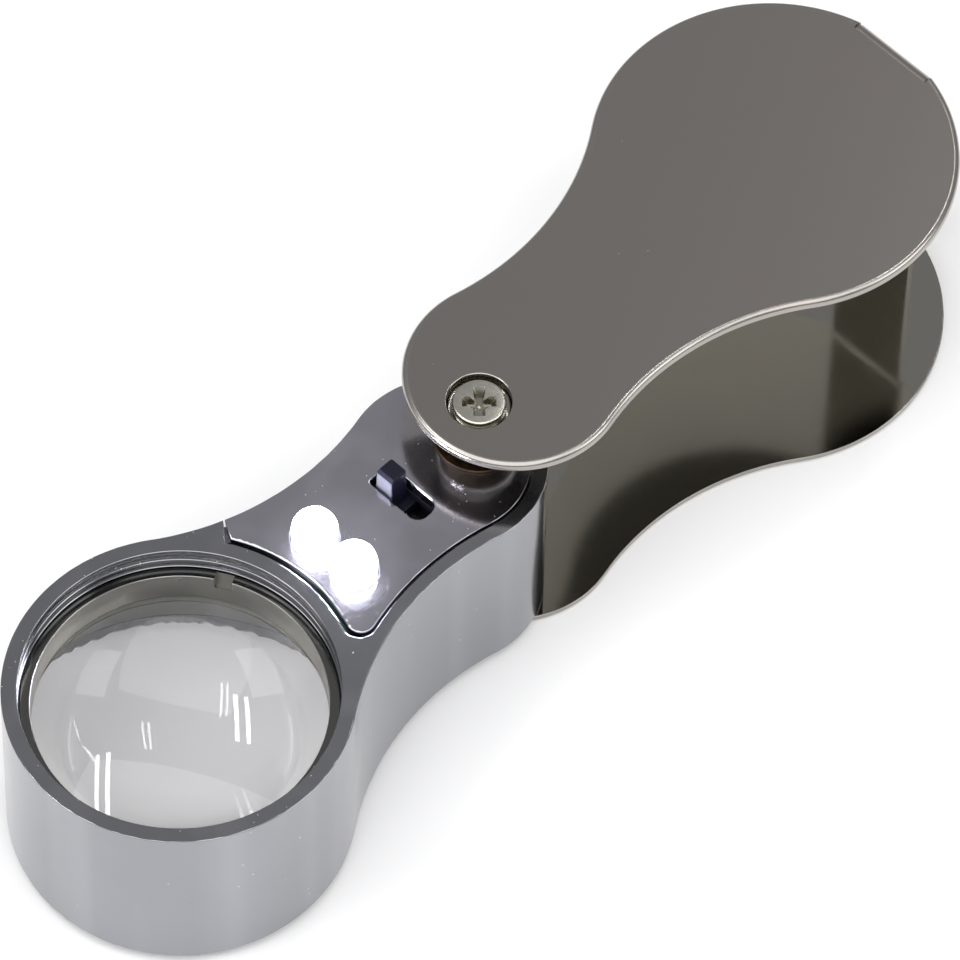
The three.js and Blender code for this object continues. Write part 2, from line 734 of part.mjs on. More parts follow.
/** What the two plates hold: the cover, the post, the screws and the washers. */
function coverGroup() {
  const group = new THREE.Group();
  const seat = COVER_HEIGHT - DIMPLE_DEPTH + TOUCH;
  const screw = pivotScrew(seat);
  const lowerScrew = screw.translate([0, 0, -COVER_HEIGHT]).rotate([180, 0, 0]);
  group.add(
    piece('folding_cover', foldingCover(), SATIN_STEEL),
    piece('pivot_post', pivotPost(), BRASS),
    piece('pivot_screw_top', screw, SCREW_STEEL),
    piece('pivot_screw_bottom', lowerScrew, SCREW_STEEL),
    piece('friction_washer', washer(WASHER_R, HEAD_TOP + TOUCH), BRASS),
    piece('thrust_washer', washer(DIMPLE_R + DIMPLE_WALL, POST_BOTTOM), BRASS),
  );
  return group;
}

/** The head's shell, panel and lens stack. */
function opticsGroup() {
  const group = new THREE.Group();
  const sleeveBottom = HEAD_BOTTOM + LIP_HEIGHT + TOUCH;
  const sleeve = ring(CLEAR_R, STACK_R, sleeveBottom, SEAT_BOTTOM, LENS_X, 0, BARREL_ROUND);
  group.add(
    piece('head_shell', headShell(), CHROME),
    piece('lamp_panel', lampPanel(), CHROME),
    piece('retaining_ring', retainingRing(), PALE_METAL),
    piece('magnifier_lens', magnifierLens(), GLASS),
    piece('lens_sleeve', sleeve, DARK_METAL),
  );
  return group;
}

/** The lamps, their board and switch, and the cells that feed them. */
function lightGroup() {
  const group = new THREE.Group();
  const [leftY, rightY] = lampPlaces();
  group.add(
    piece('lamp_left', lamp(leftY), LAMP_RESIN),
    piece('lamp_right', lamp(rightY), LAMP_RESIN),
    piece('circuit_board', circuitBoard(), BOARD_RESIN),
    piece('series_resistor', seriesResistor(), RESISTOR_LACQUER),
    piece('switch_case', switchCase(), BLACK_PLASTIC),
    piece('switch_leaf', switchLeaf(), BRASS),
    piece('switch_knob', switchKnob(), NAVY_PLASTIC),
    piece('cell_holder', ring(HOLDER_INNER_R, HOLDER_R, HOLDER_BOTTOM, CELL_TOP, CELL_X), BLACK_PLASTIC),
    piece('upper_contact', upperContact(), BRASS),
    piece('contact_spring', contactSpring(), SPRING_STEEL),
    piece('return_strip', returnStrip(), BRASS),
    piece('battery_door', batteryDoor(), CHROME),
  );
  for (let place = 0; place < CELL_COUNT; place += 1) {
    group.add(piece(`button_cell_${place + 1}`, buttonCell(place), CELL_STEEL));
  }
  return group;
}

const loupe = new THREE.Group();
loupe.add(coverGroup(), opticsGroup(), lightGroup());
const coverEnd = COVER.smallX + COVER.spacing + COVER.bigR;
const headEnd = LENS_X - HEAD.bigR;
loupe.position.x = -(coverEnd + headEnd) / 2;

export default loupe;
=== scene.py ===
"""A folding pocket loupe with two lamps, opened out: its looks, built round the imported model.

Pieces are drawn in millimetres, in a working frame with the pivot's axis at x = 0 and y = 0 and the
table at z = 0. settle() turns a finished piece into metres in the model's own frame.
"""

import json
import random
from math import acos, asin, atan2, cos, pi, radians, sin, sqrt

import bmesh
import bpy
from mathutils import Matrix, Vector


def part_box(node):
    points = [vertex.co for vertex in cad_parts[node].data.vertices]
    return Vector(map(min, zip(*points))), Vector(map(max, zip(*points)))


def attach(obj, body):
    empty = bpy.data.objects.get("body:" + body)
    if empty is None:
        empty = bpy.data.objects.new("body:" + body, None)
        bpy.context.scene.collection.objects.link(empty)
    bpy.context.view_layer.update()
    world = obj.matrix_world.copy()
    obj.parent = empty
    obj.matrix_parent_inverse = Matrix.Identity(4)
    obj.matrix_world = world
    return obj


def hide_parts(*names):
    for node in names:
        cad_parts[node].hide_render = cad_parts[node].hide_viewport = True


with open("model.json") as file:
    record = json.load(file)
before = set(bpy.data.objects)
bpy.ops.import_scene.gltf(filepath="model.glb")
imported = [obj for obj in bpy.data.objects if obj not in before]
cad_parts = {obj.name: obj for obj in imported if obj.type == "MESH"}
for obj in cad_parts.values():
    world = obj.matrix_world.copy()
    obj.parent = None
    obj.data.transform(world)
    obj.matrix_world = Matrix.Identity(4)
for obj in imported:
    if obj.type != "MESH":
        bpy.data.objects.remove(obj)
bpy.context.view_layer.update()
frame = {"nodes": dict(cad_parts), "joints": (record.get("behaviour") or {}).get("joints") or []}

MM = 0.001
PIVOT = Vector(next(j["pos_m"] for j in frame["joints"] if j["name"] == "fold_hinge"))


def box_mm(node):
    """A CAD node's lowest and highest corner, in millimetres of the working frame."""
    shift = Vector((PIVOT.x, PIVOT.y, 0))
    return tuple((corner - shift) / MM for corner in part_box(node))


# ---- dimensions, in millimetres ----

HEAD_LOW, HEAD_HIGH = box_mm("head_shell")
COVER_HIGH = box_mm("folding_cover")[1]
LENS_LOW, LENS_HIGH = box_mm("magnifier_lens")
RING_LOW, RING_HIGH = box_mm("retaining_ring")
POST_LOW, POST_HIGH = box_mm("pivot_post")
SCREW_LOW, SCREW_HIGH = box_mm("pivot_screw_top")
KNOB_LOW, KNOB_HIGH = box_mm("switch_knob")

SHEET = 0.8
OUTER_ROUND = 0.4
EDGE_SPREAD = 1.25          # how much wider than high the plates' tumbled edges are
INNER_ROUND = 0.06
COVER_HEIGHT = COVER_HIGH.z
COVER = {"small_r": 9.6, "big_r": 16.04, "spacing": 32.2, "waist_r": 25.7, "small_x": 4.3, "towards": 1}
BRIDGE_X = 52.25
BRIDGE_HALF_WIDTH = 4.1
BRIDGE_BEND = 1.2
BRIDGE_SLIT = 0.1

HEAD_BOTTOM = HEAD_LOW.z
HEAD_TOP = HEAD_HIGH.z
HEAD = {"small_r": 8.7, "big_r": 15.0, "spacing": 31.9, "waist_r": 26.2, "small_x": -3.9, "towards": -1}
HEAD_TOP_ROUND = 0.09
HEAD_FOOT_ROUND = 0.3
LENS_X = (LENS_LOW.x + LENS_HIGH.x) / 2
BORE_R = 13.6
LIP_R = 12.4
LIP_TOP = HEAD_BOTTOM + 2.0
FLOOR = 1.2
WALL = 1.6
BOSS_R = 4.4

CLEAR_R = 12.6
STACK_R = 13.5
RING_BOTTOM = RING_LOW.z
RING_TOP = RING_HIGH.z
NOTCH = {"width": 1.6, "depth": 1.25, "turn": 28.5}
THREAD_PITCH = 1.0
THREAD_DEPTH = 0.18
LENS_R = 13.35
LENS_RADIUS = 34.0

DIMPLE_R = 2.8
DIMPLE_DEPTH = 1.0
DIMPLE_WALL = 0.7
SCREW_HEAD_R = 2.3
SCREW_HEAD_HEIGHT = 0.95
SCREW_SHANK_R = 1.2
SCREW_PITCH = 0.45
RECESS_DEPTH = 0.95
POST_R = 2.6
POST_COLLAR_R = 3.3
POST_BORE_R = 1.3
WASHER_HEIGHT = 0.25

PANEL_BOTTOM = box_mm("lamp_panel")[0].z
PANEL_ROUND = 0.15
RIM = 1.25
SEAM = 0.24
BARREL_SEAM = 1.7           # how much wider the seam is along the barrel than elsewhere
SEAM_WEAR = 0.4
PANEL_FILLET = 1.5
PANEL_FAR_CORNER = Vector((-20.8, 7.5))
RIM_START = pi / 4
LAMP_X = sum(corner.x for corner in box_mm("lamp_left")) / 2
LAMP_R = 2.0
LAMP_LEAD = {"half": 0.22, "offset": 1.2}
SWITCH_X = -8.75
SWITCH_Y = 0.3
SWITCH_CASE = box_mm("switch_case")
SLOT = {"width": 2.4, "length": 5.8, "corner": 0.3, "round_corner": 0.95}
KNOB = {"width": 2.0, "length": 2.1, "corner": 0.22}
SLIDER = {"width": 3.2, "length": 3.7, "corner": 0.3}
DOOR_X = -12.7
DOOR = {"width": 12.4, "length": 10.0, "corner": 1.4}
DOOR_GAP = 0.1
GAP = 0.02                  # a hair: clearance between pieces, and slack when sorting faces
ROUND_STEPS = 192           # sides of the barrel's round pieces
PAST = 1.0                  # how far a cutter reaches past what it cuts

# ---- the camera: the photograph's viewing angle ----

CAMERA_AIM = Vector((-0.17, 0.314, 11.765))
CAMERA_AZIMUTH = radians(-46.99)
CAMERA_ELEVATION = radians(57.115)
CAMERA_ROLL = radians(1.619)
CAMERA_DISTANCE = 788.5
CAMERA_LENS = 343.4


def camera_axes():
    """The camera's right, up and back directions."""
    back = Vector((
        sin(CAMERA_AZIMUTH) * cos(CAMERA_ELEVATION),
        -cos(CAMERA_AZIMUTH) * cos(CAMERA_ELEVATION),
        sin(CAMERA_ELEVATION),
    ))
    level = Vector((cos(CAMERA_AZIMUTH), sin(CAMERA_AZIMUTH), 0))
    upright = back.cross(level)
    right = level * cos(CAMERA_ROLL) + upright * sin(CAMERA_ROLL)
    return right, back.cross(right), back


def add_camera():
    """A long lens, far off, at the photograph's angle."""
    right, up, back = camera_axes()
    data = bpy.data.cameras.new("camera")
    data.lens = CAMERA_LENS
    data.sensor_width = 36
    data.clip_start = 0.01
    data.clip_end = 50
    camera = bpy.data.objects.new("camera", data)
    bpy.context.scene.collection.objects.link(camera)
    axes = Matrix((right, up, back)).transposed().to_4x4()
    camera.matrix_world = Matrix.Translation((CAMERA_AIM + back * CAMERA_DISTANCE) * MM) @ axes
    bpy.context.scene.camera = camera


# ---- the set: floor and lights ----

SKY = (0.36, 0.36, 0.365)
FLOOR_HALF = 3.0
CEILING = 0.9
TUBE = {"length": 0.333, "width": 0.0216, "gap": 0.0558, "azimuth": 44, "radiance": 16}
RIGHT_FITTING = Vector((0.5247, 0.1701, CEILING))
LEFT_FITTING = Vector((-0.198, 0.36, CEILING))


def direction(azimuth, elevation):
    """A unit vector at an azimuth, counted from +X towards +Y, and an elevation, in degrees."""
    level = cos(radians(elevation))
    return Vector((
        cos(radians(azimuth)) * level,
        sin(radians(azimuth)) * level,
        sin(radians(elevation)),
    ))


def add_area_light(name, placement, width, length, radiance):
    """A rectangular light that shines along its own -Z. Sizes are in metres."""
    data = bpy.data.lights.new(name, "AREA")
    data.shape = "RECTANGLE"
    data.size = width
    data.size_y = length
    data.energy = radiance * pi * width * length
    light = bpy.data.objects.new(name, data)
    bpy.context.scene.collection.objects.link(light)
    light.matrix_world = placement


def add_softbox(name, azimuth, elevation, distance, size, radiance):
    """A square softbox that faces the object."""
    place = direction(azimuth, elevation) * distance
    facing = place.to_track_quat("Z", "Y").to_matrix().to_4x4()
    add_area_light(name, Matrix.Translation(place) @ facing, size, size, radiance)


def add_fitting(name, centre):
    """Two parallel tubes under the ceiling, along the camera's line of sight."""
    along = direction(TUBE["azimuth"], 0)
    across = Vector((-along.y, along.x, 0))
    facing = Matrix((across, along, Vector((0, 0, 1)))).transposed().to_4x4()
    for side in (-1, 1):
        place = centre + across * (side * TUBE["gap"] / 2)
        placement = Matrix.Translation(place) @ facing
        add_area_light(f"{name}_{side}", placement, TUBE["width"], TUBE["length"], TUBE["radiance"])


def add_lights():
    """A dim even sky, soft light from three sides, and two ceiling fittings."""
    world = bpy.data.worlds.new("sky")
    world.use_nodes = True
    world.node_tree.nodes["Background"].inputs["Color"].default_value = (*SKY, 1)
    bpy.context.scene.world = world
    add_softbox("overhead", azimuth=-150, elevation=66, distance=1.2, size=1.6, radiance=1.8)
    add_softbox("left", azimuth=150, elevation=38, distance=1.3, size=0.7, radiance=2.6)
    add_softbox("right", azimuth=-60, elevation=38, distance=1.3, size=0.7, radiance=2.6)
    add_fitting("fitting_right", RIGHT_FITTING)
    add_fitting("fitting_left", LEFT_FITTING)


def add_floor():
    """A plain pale table top."""
    paper = Surface("floor_paper", (0.97, 0.97, 0.97), roughness=0.75)
    paper.tint(paper.noise(40), (0.95, 0.95, 0.955), 0.4)
    corners = [(x * FLOOR_HALF, y * FLOOR_HALF, 0) for x, y in ((-1, -1), (1, -1), (1, 1), (-1, 1))]
    mesh = bpy.data.meshes.new("floor")
    mesh.from_pydata(corners, [], [(0, 1, 2, 3)])
    mesh.materials.append(paper.material)
    floor = bpy.data.objects.new("floor", mesh)
    bpy.context.scene.collection.objects.link(floor)


# ---- materials ----

SCRATCHED_ROUGHNESS = 0.38
SCUFFED_SHARE = 0.22
# In millimetres below a screw's face: where the painted shade in its recess starts, and where it is
# full.
RECESS_SHADE_DEPTH = (0.12, 0.4)
# In millimetres above the panel: where a lamp starts to glow, and where it glows fully.
LAMP_GLOW = (0.8, 2.4)
# Each band's place along the resistor, in millimetres from its middle, and its colour.
RESISTOR_BANDS = (
    (-0.9, (0.25, 0.10, 0.03)),
    (-0.4, (0.02, 0.02, 0.02)),
    (0.1, (0.30, 0.04, 0.03)),
    (0.8, (0.45, 0.33, 0.1)),
)


class Surface:
    """A Principled material put together from procedural patterns, whose sizes are in millimetres."""

    def __init__(self, name, colour, metallic=0.0, roughness=0.5):
        self.material = bpy.data.materials.new(name)
        self.material.use_nodes = True
        self.tree = self.material.node_tree
        self.shader = self.tree.nodes["Principled BSDF"]
        self.shader.inputs["Base Color"].default_value = (*colour, 1)
        self.shader.inputs["Metallic"].default_value = metallic
        self.shader.inputs["Roughness"].default_value = roughness
        self.place = self.node("TexCoord").outputs["Object"]
        self.normal = None

    def node(self, kind, **inputs):
        """A new shader node, with its inputs set or linked by name."""
        made = self.tree.nodes.new("ShaderNode" + kind)
        for name, value in inputs.items():
            self.feed(made.inputs[name], value)
        return made

    def feed(self, socket, value):
        """Links an output to a socket, or sets the socket's own value."""
        if isinstance(value, bpy.types.NodeSocket):
            self.tree.links.new(value, socket)
        else:
            socket.default_value = value

    def math(self, operation, *values, clamp=False):
        """The result of a math node."""
        made = self.node("Math")
        made.operation = operation
        made.use_clamp = clamp
        for socket, value in zip(made.inputs, values):
            self.feed(socket, value)
        return made.outputs[0]

    def along(self, axis):
        """The place along an axis of the model's frame, in metres."""
        return self.node("SeparateXYZ", Vector=self.place).outputs[axis]

    def distance(self, value, middle):
        """How far a value is from a middle one, to either side."""
        return self.math("ABSOLUTE", self.math("SUBTRACT", value, middle))

    def show(self, shader):
        """Makes another shader the one that is seen."""
        self.feed(self.tree.nodes["Material Output"].inputs["Surface"], shader)

    def stretched(self, stretch):
        """The place on the object, with each axis scaled."""
        made = self.node("Mapping", Vector=self.place)
        made.inputs["Scale"].default_value = stretch
        return made.outputs[0]

    def noise(self, size, detail=2.0, stretch=(1, 1, 1)):
        """Soft noise from 0 to 1, with features of the given size."""
        place = self.stretched(stretch)
        return self.node("TexNoise", Vector=place, Scale=1 / (size * MM), Detail=detail).outputs["Fac"]

    def above(self, value, low, high):
        """0 below low, 1 above high, and smooth between."""
        made = self.node("MapRange", Value=value)
        made.interpolation_type = "SMOOTHSTEP"
        made.inputs["From Min"].default_value = low
        made.inputs["From Max"].default_value = high
        return made.outputs["Result"]

    def specks(self, spacing, radius):
        """Scattered round specks, 1 inside: one in every few cells of the given spacing."""
        cells = self.node("TexVoronoi", Vector=self.place, Scale=1 / (spacing * MM))
        near = self.above(cells.outputs["Distance"], radius / spacing, 0.6 * radius / spacing)
        chosen = self.above(self.noise(3 * spacing, 0), 0.56, 0.6)
        return self.math("MULTIPLY", near, chosen)

    def tint(self, mask, colour, amount=1.0):
        """Mixes another colour in where the mask is 1."""
        socket = self.shader.inputs["Base Color"]
        made = self.node("MixRGB", Fac=self.math("MULTIPLY", mask, amount, clamp=True))
        if socket.is_linked:
            self.feed(made.inputs["Color1"], socket.links[0].from_socket)
        else:
            made.inputs["Color1"].default_value = tuple(socket.default_value)
        made.inputs["Color2"].default_value = (*colour, 1)
        self.feed(socket, made.outputs[0])

    def roughen(self, mask, amount):
        """Adds to the roughness where the mask is 1."""
        socket = self.shader.inputs["Roughness"]
        base = socket.links[0].from_socket if socket.is_linked else socket.default_value
        self.feed(socket, self.math("MULTIPLY_ADD", mask, amount, base, clamp=True))

    def bump(self, height, depth):
        """Raises the surface by depth, in millimetres, where the height is 1."""
        made = self.node("Bump", Height=height, Distance=depth * MM)
        if self.normal is not None:
            self.feed(made.inputs["Normal"], self.normal)
        self.normal = made.outputs[0]
        self.feed(self.shader.inputs["Normal"], self.normal)


def satin_steel(name="satin_steel", roughness=0.12):
    """The cover's outside: rolled stainless sheet, finely blasted."""
    steel = Surface(name, (0.385, 0.36, 0.335), metallic=1, roughness=roughness)
    steel.tint(steel.noise(9, 3), (0.372, 0.354, 0.334), 0.8)
    steel.tint(steel.above(steel.noise(14), 0.5, 0.75), (0.41, 0.36, 0.332), 0.6)
    steel.roughen(steel.noise(0.35, 3), 0.06)
    steel.roughen(steel.specks(2.2, 0.07), 0.3)
    steel.bump(steel.noise(0.22, 2), 0.0006)
    return steel.material


def tumbled_steel():
    """The cover's outer edges, dulled by tumbling."""
    return satin_steel("tumbled_steel", 0.22)


def polished_steel():
    """The cover's inside, bright from the rolls, with the faint streaks they leave."""
    steel = Surface("polished_steel", (0.375, 0.356, 0.325), metallic=1, roughness=0.05)
    streaks = steel.noise(1.4, 3, stretch=(0.08, 1, 1))
    steel.tint(steel.noise(7, 2), (0.34, 0.34, 0.31), 0.8)
    steel.roughen(streaks, 0.04)
    steel.roughen(steel.specks(1.6, 0.06), 0.4)
    return steel.material


def soften(surface, roughness, share):
    """Mixes in a wider gloss, as a film of fine scratches gives."""
    scratched = surface.node("BsdfPrincipled")
    for name in ("Base Color", "Metallic", "Normal"):
        own = surface.shader.inputs[name]
        if own.is_linked:
            surface.feed(scratched.inputs[name], own.links[0].from_socket)
        elif name != "Normal":
            scratched.inputs[name].default_value = own.default_value
    scratched.inputs["Roughness"].default_value = roughness
    blend = surface.node("MixShader", Fac=share)
    surface.feed(blend.inputs[1], surface.shader.outputs[0])
    surface.feed(blend.inputs[2], scratched.outputs[0])
    surface.show(blend.outputs[0])


def chrome(name, colour, roughness, scratched, scuffed=None):
    """Plated zinc: bright, with the faint waves and sparse pits of a cheap casting, more of them near
    the top. Scratched is the share of fine scratches, and scuffed, if given, is a function whose mask
    says where there are more."""
    plate = Surface(name, colour, metallic=1, roughness=roughness)
    streaks = plate.above(plate.noise(4.5, 1, stretch=(1, 1, 0.03)), 0.45, 0.75)
    plate.tint(plate.noise(6, 2), tuple(0.92 * c for c in colour), 0.8)
    plate.tint(streaks, tuple(1.14 * c for c in colour), 0.8)
    plate.roughen(plate.noise(2.5, 3), 0.06)
    near_top = plate.above(plate.along("Z"), (HEAD_TOP - 2.2) * MM, (HEAD_TOP - 1.2) * MM)
    fine_pits = plate.math("MULTIPLY", near_top, plate.specks(0.6, 0.05))
    for pits in (plate.specks(1.1, 0.07), fine_pits):
        plate.tint(pits, (0.95, 0.95, 0.95))
        plate.roughen(pits, 0.3)
    plate.bump(plate.noise(1.6, 2), 0.0005)
    share = scratched
    if scuffed:
        share = plate.math("MULTIPLY_ADD", scuffed(plate), SCUFFED_SHARE, scratched)
    soften(plate, SCRATCHED_ROUGHNESS, share)
    return plate.material


def head_chrome():
    """The head's plating."""
    return chrome("head_chrome", (0.31, 0.313, 0.334), roughness=0.12, scratched=0.08)


def round_the_lamps(surface):
    """1 round the two lamps, fading out over a few millimetres."""
    across = sum(lamp_places()) / 2
    middle = Vector((PIVOT.x + LAMP_X * MM, PIVOT.y + across * MM, HEAD_TOP * MM))
    away = surface.node("VectorMath")
    away.operation = "DISTANCE"
    surface.feed(away.inputs[0], surface.place)
    away.inputs[1].default_value = middle
    return surface.above(away.outputs["Value"], 7.5 * MM, 3.5 * MM)


def panel_chrome():
    """The inlaid panel's plating, brighter and more scuffed round the lamps."""
    return chrome("panel_chrome", (0.48, 0.47, 0.525), 0.10, 0.03, round_the_lamps)


def ring_metal():
    """The threaded ring: turned aluminium, pale inside, with its upward faces smooth and darkened by
    painted shade.
    """
    metal = Surface("ring_metal", (0.45, 0.44, 0.41), metallic=1, roughness=0.26)
    facing = metal.node("SeparateXYZ", Vector=metal.node("TexCoord").outputs["Normal"])
    upward = metal.above(facing.outputs["Z"], 0.75, 0.95)
    metal.tint(metal.noise(2.5, 2), (0.39, 0.385, 0.36), 0.7)
    # painted shade: faces that point upward are tinted dark, standing in for the dark they show from
    # above
    metal.tint(upward, (0.16, 0.16, 0.15))
    metal.roughen(upward, -0.16)
    metal.roughen(metal.noise(1.2, 2), 0.06)
    return metal.material


def sleeve_metal():
    """The sleeve under the lens: dark anodised, so that it throws no glare into the view."""
    metal = Surface("sleeve_metal", (0.17, 0.17, 0.155), metallic=1, roughness=0.45)
    metal.tint(metal.noise(3, 2), (0.12, 0.125, 0.11), 0.8)
    metal.bump(metal.noise(0.3, 2, stretch=(0.2, 0.2, 3)), 0.004)
    return metal.material


def screw_steel():
    """Nickel-plated screws, with painted shade darkening their recesses."""
    metal = Surface("screw_steel", (0.60, 0.585, 0.525), metallic=1, roughness=0.16)
    metal.tint(metal.noise(1.1, 3), (0.50, 0.485, 0.42), 0.8)
    from_middle = metal.distance(metal.along("Z"), COVER_HEIGHT / 2 * MM)
    face = SCREW_HIGH.z - COVER_HEIGHT / 2
    recess_shade = metal.above(from_middle, (face - RECESS_SHADE_DEPTH[0]) * MM, (face - RECESS_SHADE_DEPTH[1]) * MM)
    # painted shade: the screw is tinted darker below its face, where its recess is shaded
    metal.tint(recess_shade, (0.30, 0.285, 0.235), 0.8)
    metal.roughen(metal.noise(0.4, 2), 0.12)
    metal.bump(metal.noise(0.5, 2), 0.004)
    return metal.material


def brass(name, colour, dulled, roughness):
    """Brass, dulled in patches to another colour."""
    metal = Surface(name, colour, metallic=1, roughness=roughness)
    metal.tint(metal.above(metal.noise(1.6, 3), 0.42, 0.62), dulled)
    metal.roughen(metal.noise(0.5, 2), 0.2)
    metal.bump(metal.noise(0.25, 2), 0.002)
    return metal.material


def lens_glass():
    """Clear glass. Light falls straight through it, so that what is under the lens is evenly lit."""
    glass = Surface("lens_glass", (0.985, 0.982, 0.985), roughness=0.0)
    glass.shader.inputs["Transmission Weight"].default_value = 1.0
    glass.shader.inputs["IOR"].default_value = 1.5
    lets_through = glass.node("BsdfTransparent", Color=(0.925, 0.92, 0.93, 1))
    path = glass.node("LightPath")
    seen = glass.shader.outputs[0]
    for kind in ("Is Diffuse Ray", "Is Shadow Ray"):
        choice = glass.node("MixShader", Fac=path.outputs[kind])
        glass.feed(choice.inputs[1], seen)
        glass.feed(choice.inputs[2], lets_through.outputs[0])
        seen = choice.outputs[0]
    glass.show(seen)
    return glass.material


def lamp_resin():
    """A lit lamp: clear resin, glowing most at its tip."""
    resin = Surface("lamp_resin", (0.9, 0.92, 1.0), roughness=0.12)
    low, high = LAMP_GLOW
    glow = resin.above(resin.along("Z"), (HEAD_TOP + low) * MM, (HEAD_TOP + high) * MM)
    resin.shader.inputs["Emission Color"].default_value = (0.86, 0.88, 1.0, 1)
    resin.feed(resin.shader.inputs["Emission Strength"], resin.math("MULTIPLY_ADD", glow, 120, 1.2))
    return resin.material


def plastic(name, colour, roughness):
    """Moulded plastic with a fine grain."""
    made = Surface(name, colour, roughness=roughness)
    made.tint(made.noise(1.5, 2), tuple(1.5 * c for c in colour), 0.6)
    made.roughen(made.noise(0.2, 2), 0.12)
    made.bump(made.noise(0.15, 2), 0.003)
    return made.material


def knob_plastic():
    """The knob's dark plastic, with painted lamp light: paler on the side towards the lamps."""
    made = Surface("knob_plastic", (0.006, 0.006, 0.015), roughness=0.4)
    made.shader.inputs["Specular IOR Level"].default_value = 0.2
    left = PIVOT.x + (SWITCH_X - KNOB["width"] / 2) * MM
    lamp_lit_side = made.above(made.along("X"), left + 0.16 * MM, left + 0.1 * MM)
    made.tint(made.noise(1.5, 2), (0.009, 0.009, 0.02), 0.6)
    # painted light: the side towards the lamps is tinted pale, as if lit by them
    made.tint(lamp_lit_side, (0.10, 0.10, 0.12))
    made.bump(made.noise(0.15, 2), 0.003)
    return made.material


def within(surface, low, high):
    """1 inside the plan of a box given in millimetres of the working frame, and 0 outside."""
    middle = (low + high) / 2
    half = (high - low) / 2
    mask = 1.0
    for axis, centre, reach in (
        ("X", PIVOT.x + middle.x * MM, half.x * MM),
        ("Y", PIVOT.y + middle.y * MM, half.y * MM),
    ):
        away = surface.distance(surface.along(axis), centre)
        mask = surface.math("MULTIPLY", mask, surface.above(away, reach + 0.1 * MM, reach))
    return mask


def board_resin():
    """Solder-masked laminate with a faint weave."""
    board = Surface("board_resin", (0.03, 0.10, 0.05), roughness=0.35)
    board.tint(board.noise(3, 2), (0.04, 0.14, 0.07), 0.8)
    # painted shade: the board is painted near black under the switch, so that the slot above it looks
    # dark
    board.tint(within(board, *SWITCH_CASE), (0.004, 0.004, 0.006))
    board.bump(board.noise(0.4, 2, stretch=(4, 0.5, 1)), 0.004)
    return board.material


def resistor_lacquer():
    """Lacquer with four coloured bands across the resistor's body."""
    lacquer = Surface("resistor_lacquer", (0.62, 0.50, 0.34), roughness=0.3)
    low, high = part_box("series_resistor")
    middle = (low.y + high.y) / 2
    along = lacquer.along("Y")
    for offset, colour in RESISTOR_BANDS:
        away = lacquer.distance(along, middle + offset * MM)
        lacquer.tint(lacquer.above(away, 0.13 * MM, 0.1 * MM), colour)
    caps = lacquer.above(lacquer.distance(along, middle), 1.5 * MM, 1.55 * MM)
    lacquer.tint(caps, (0.6, 0.6, 0.6))
    lacquer.bump(lacquer.noise(0.5, 2), 0.004)
    return lacquer.material


def spring_steel():
    """Drawn wire, with the die's lines along it."""
    wire = Surface("spring_steel", (0.5, 0.5, 0.48), metallic=1, roughness=0.25)
    wire.tint(wire.noise(0.8, 2), (0.40, 0.40, 0.39), 0.7)
    wire.roughen(wire.noise(0.2, 2), 0.15)
    return wire.material


def cell_steel():
    """The cells' nickel-plated cans, lightly scuffed."""
    can = Surface("cell_steel", (0.6, 0.6, 0.6), metallic=1, roughness=0.22)
    can.tint(can.noise(2.5, 2), (0.52, 0.52, 0.51), 0.7)
    can.roughen(can.noise(0.3, 3, stretch=(1, 6, 1)), 0.18)
    return can.material


# ---- outlines ----


def arc(centre, radius, start, end, steps):
    """Points of an arc, both ends included."""
    turns = [start + (end - start) * i / steps for i in range(steps + 1)]
    return [Vector((centre[0] + radius * cos(t), centre[1] + radius * sin(t))) for t in turns]


def meet(a, ra, b, rb, side):
    """The point ra from a and rb from b, left (+1) or right (-1) of the way from a to b."""
    line = b - a
    along = (line.length_squared + ra ** 2 - rb ** 2) / (2 * line.length)
    across = side * sqrt(ra ** 2 - along ** 2)
    line.normalize()
    return Vector((a.x + line.x * along - line.y * across, a.y + line.y * along + line.x * across))


def bearing(start, end):
    """The angle at which end is seen from start."""
    return atan2(end[1] - start[1], end[0] - start[0])


def pear_centres(shape, side):
    """The centres of a pear's small end, its big end and its hollow arc on the given side."""
    small = Vector((shape["small_x"], 0))
    big = Vector((shape["small_x"] + shape["towards"] * shape["spacing"], 0))
    turn = side * shape["towards"]
    reach = shape["waist_r"]
    return small, big, meet(small, shape["small_r"] + reach, big, shape["big_r"] + reach, turn)


def pear(shape, inset=0.0):
    """A pear outline: a small round end and a big one, joined by hollow arcs tangent to both."""
    small, big, waist = pear_centres({**shape, "small_x": 0, "towards": 1}, 1)
    mirrored = Vector((waist.x, -waist.y))
    small_turn = bearing(small, waist)
    big_turn = bearing(big, waist)
    waist_r = shape["waist_r"] + inset
    points = [
        *arc(small, shape["small_r"] - inset, small_turn, 2 * pi - small_turn, 72)[1:],
        *arc(mirrored, waist_r, bearing(mirrored, small), bearing(mirrored, big), 24)[1:],
        *arc(big, shape["big_r"] - inset, -big_turn, big_turn, 120)[1:],
        *arc(waist, waist_r, bearing(waist, big), bearing(waist, small), 24)[1:],
    ]
    outline = [Vector((shape["small_x"] + shape["towards"] * p.x, p.y)) for p in points]
    return outline if shape["towards"] > 0 else outline[::-1]


def rounded_rectangle(x, y, width, length, corner, inset=0.0):
    """A rectangle about (x, y) with rounded corners, drawn anticlockwise."""
    points = []
    for i, (sx, sy) in enumerate(((1, 1), (-1, 1), (-1, -1), (1, -1))):
        centre = (x + sx * (width / 2 - corner), y + sy * (length / 2 - corner))
        points += arc(centre, max(corner - inset, 0.01), i * pi / 2, (i + 1) * pi / 2, 8)
    return points


def circle(x, y, radius, steps=64):
    """A circle's outline, as a function of inset."""
    return lambda inset: arc((x, y), radius - inset, 0, 2 * pi, steps)[1:]


def soft_rectangle(x, y, width, length, corner):
    """A rounded rectangle, as a function of inset, whose edges round off twice as wide as high."""
    return lambda inset: rounded_rectangle(
        x, y, width - 2 * inset, length - 2 * inset, corner, inset,
    )


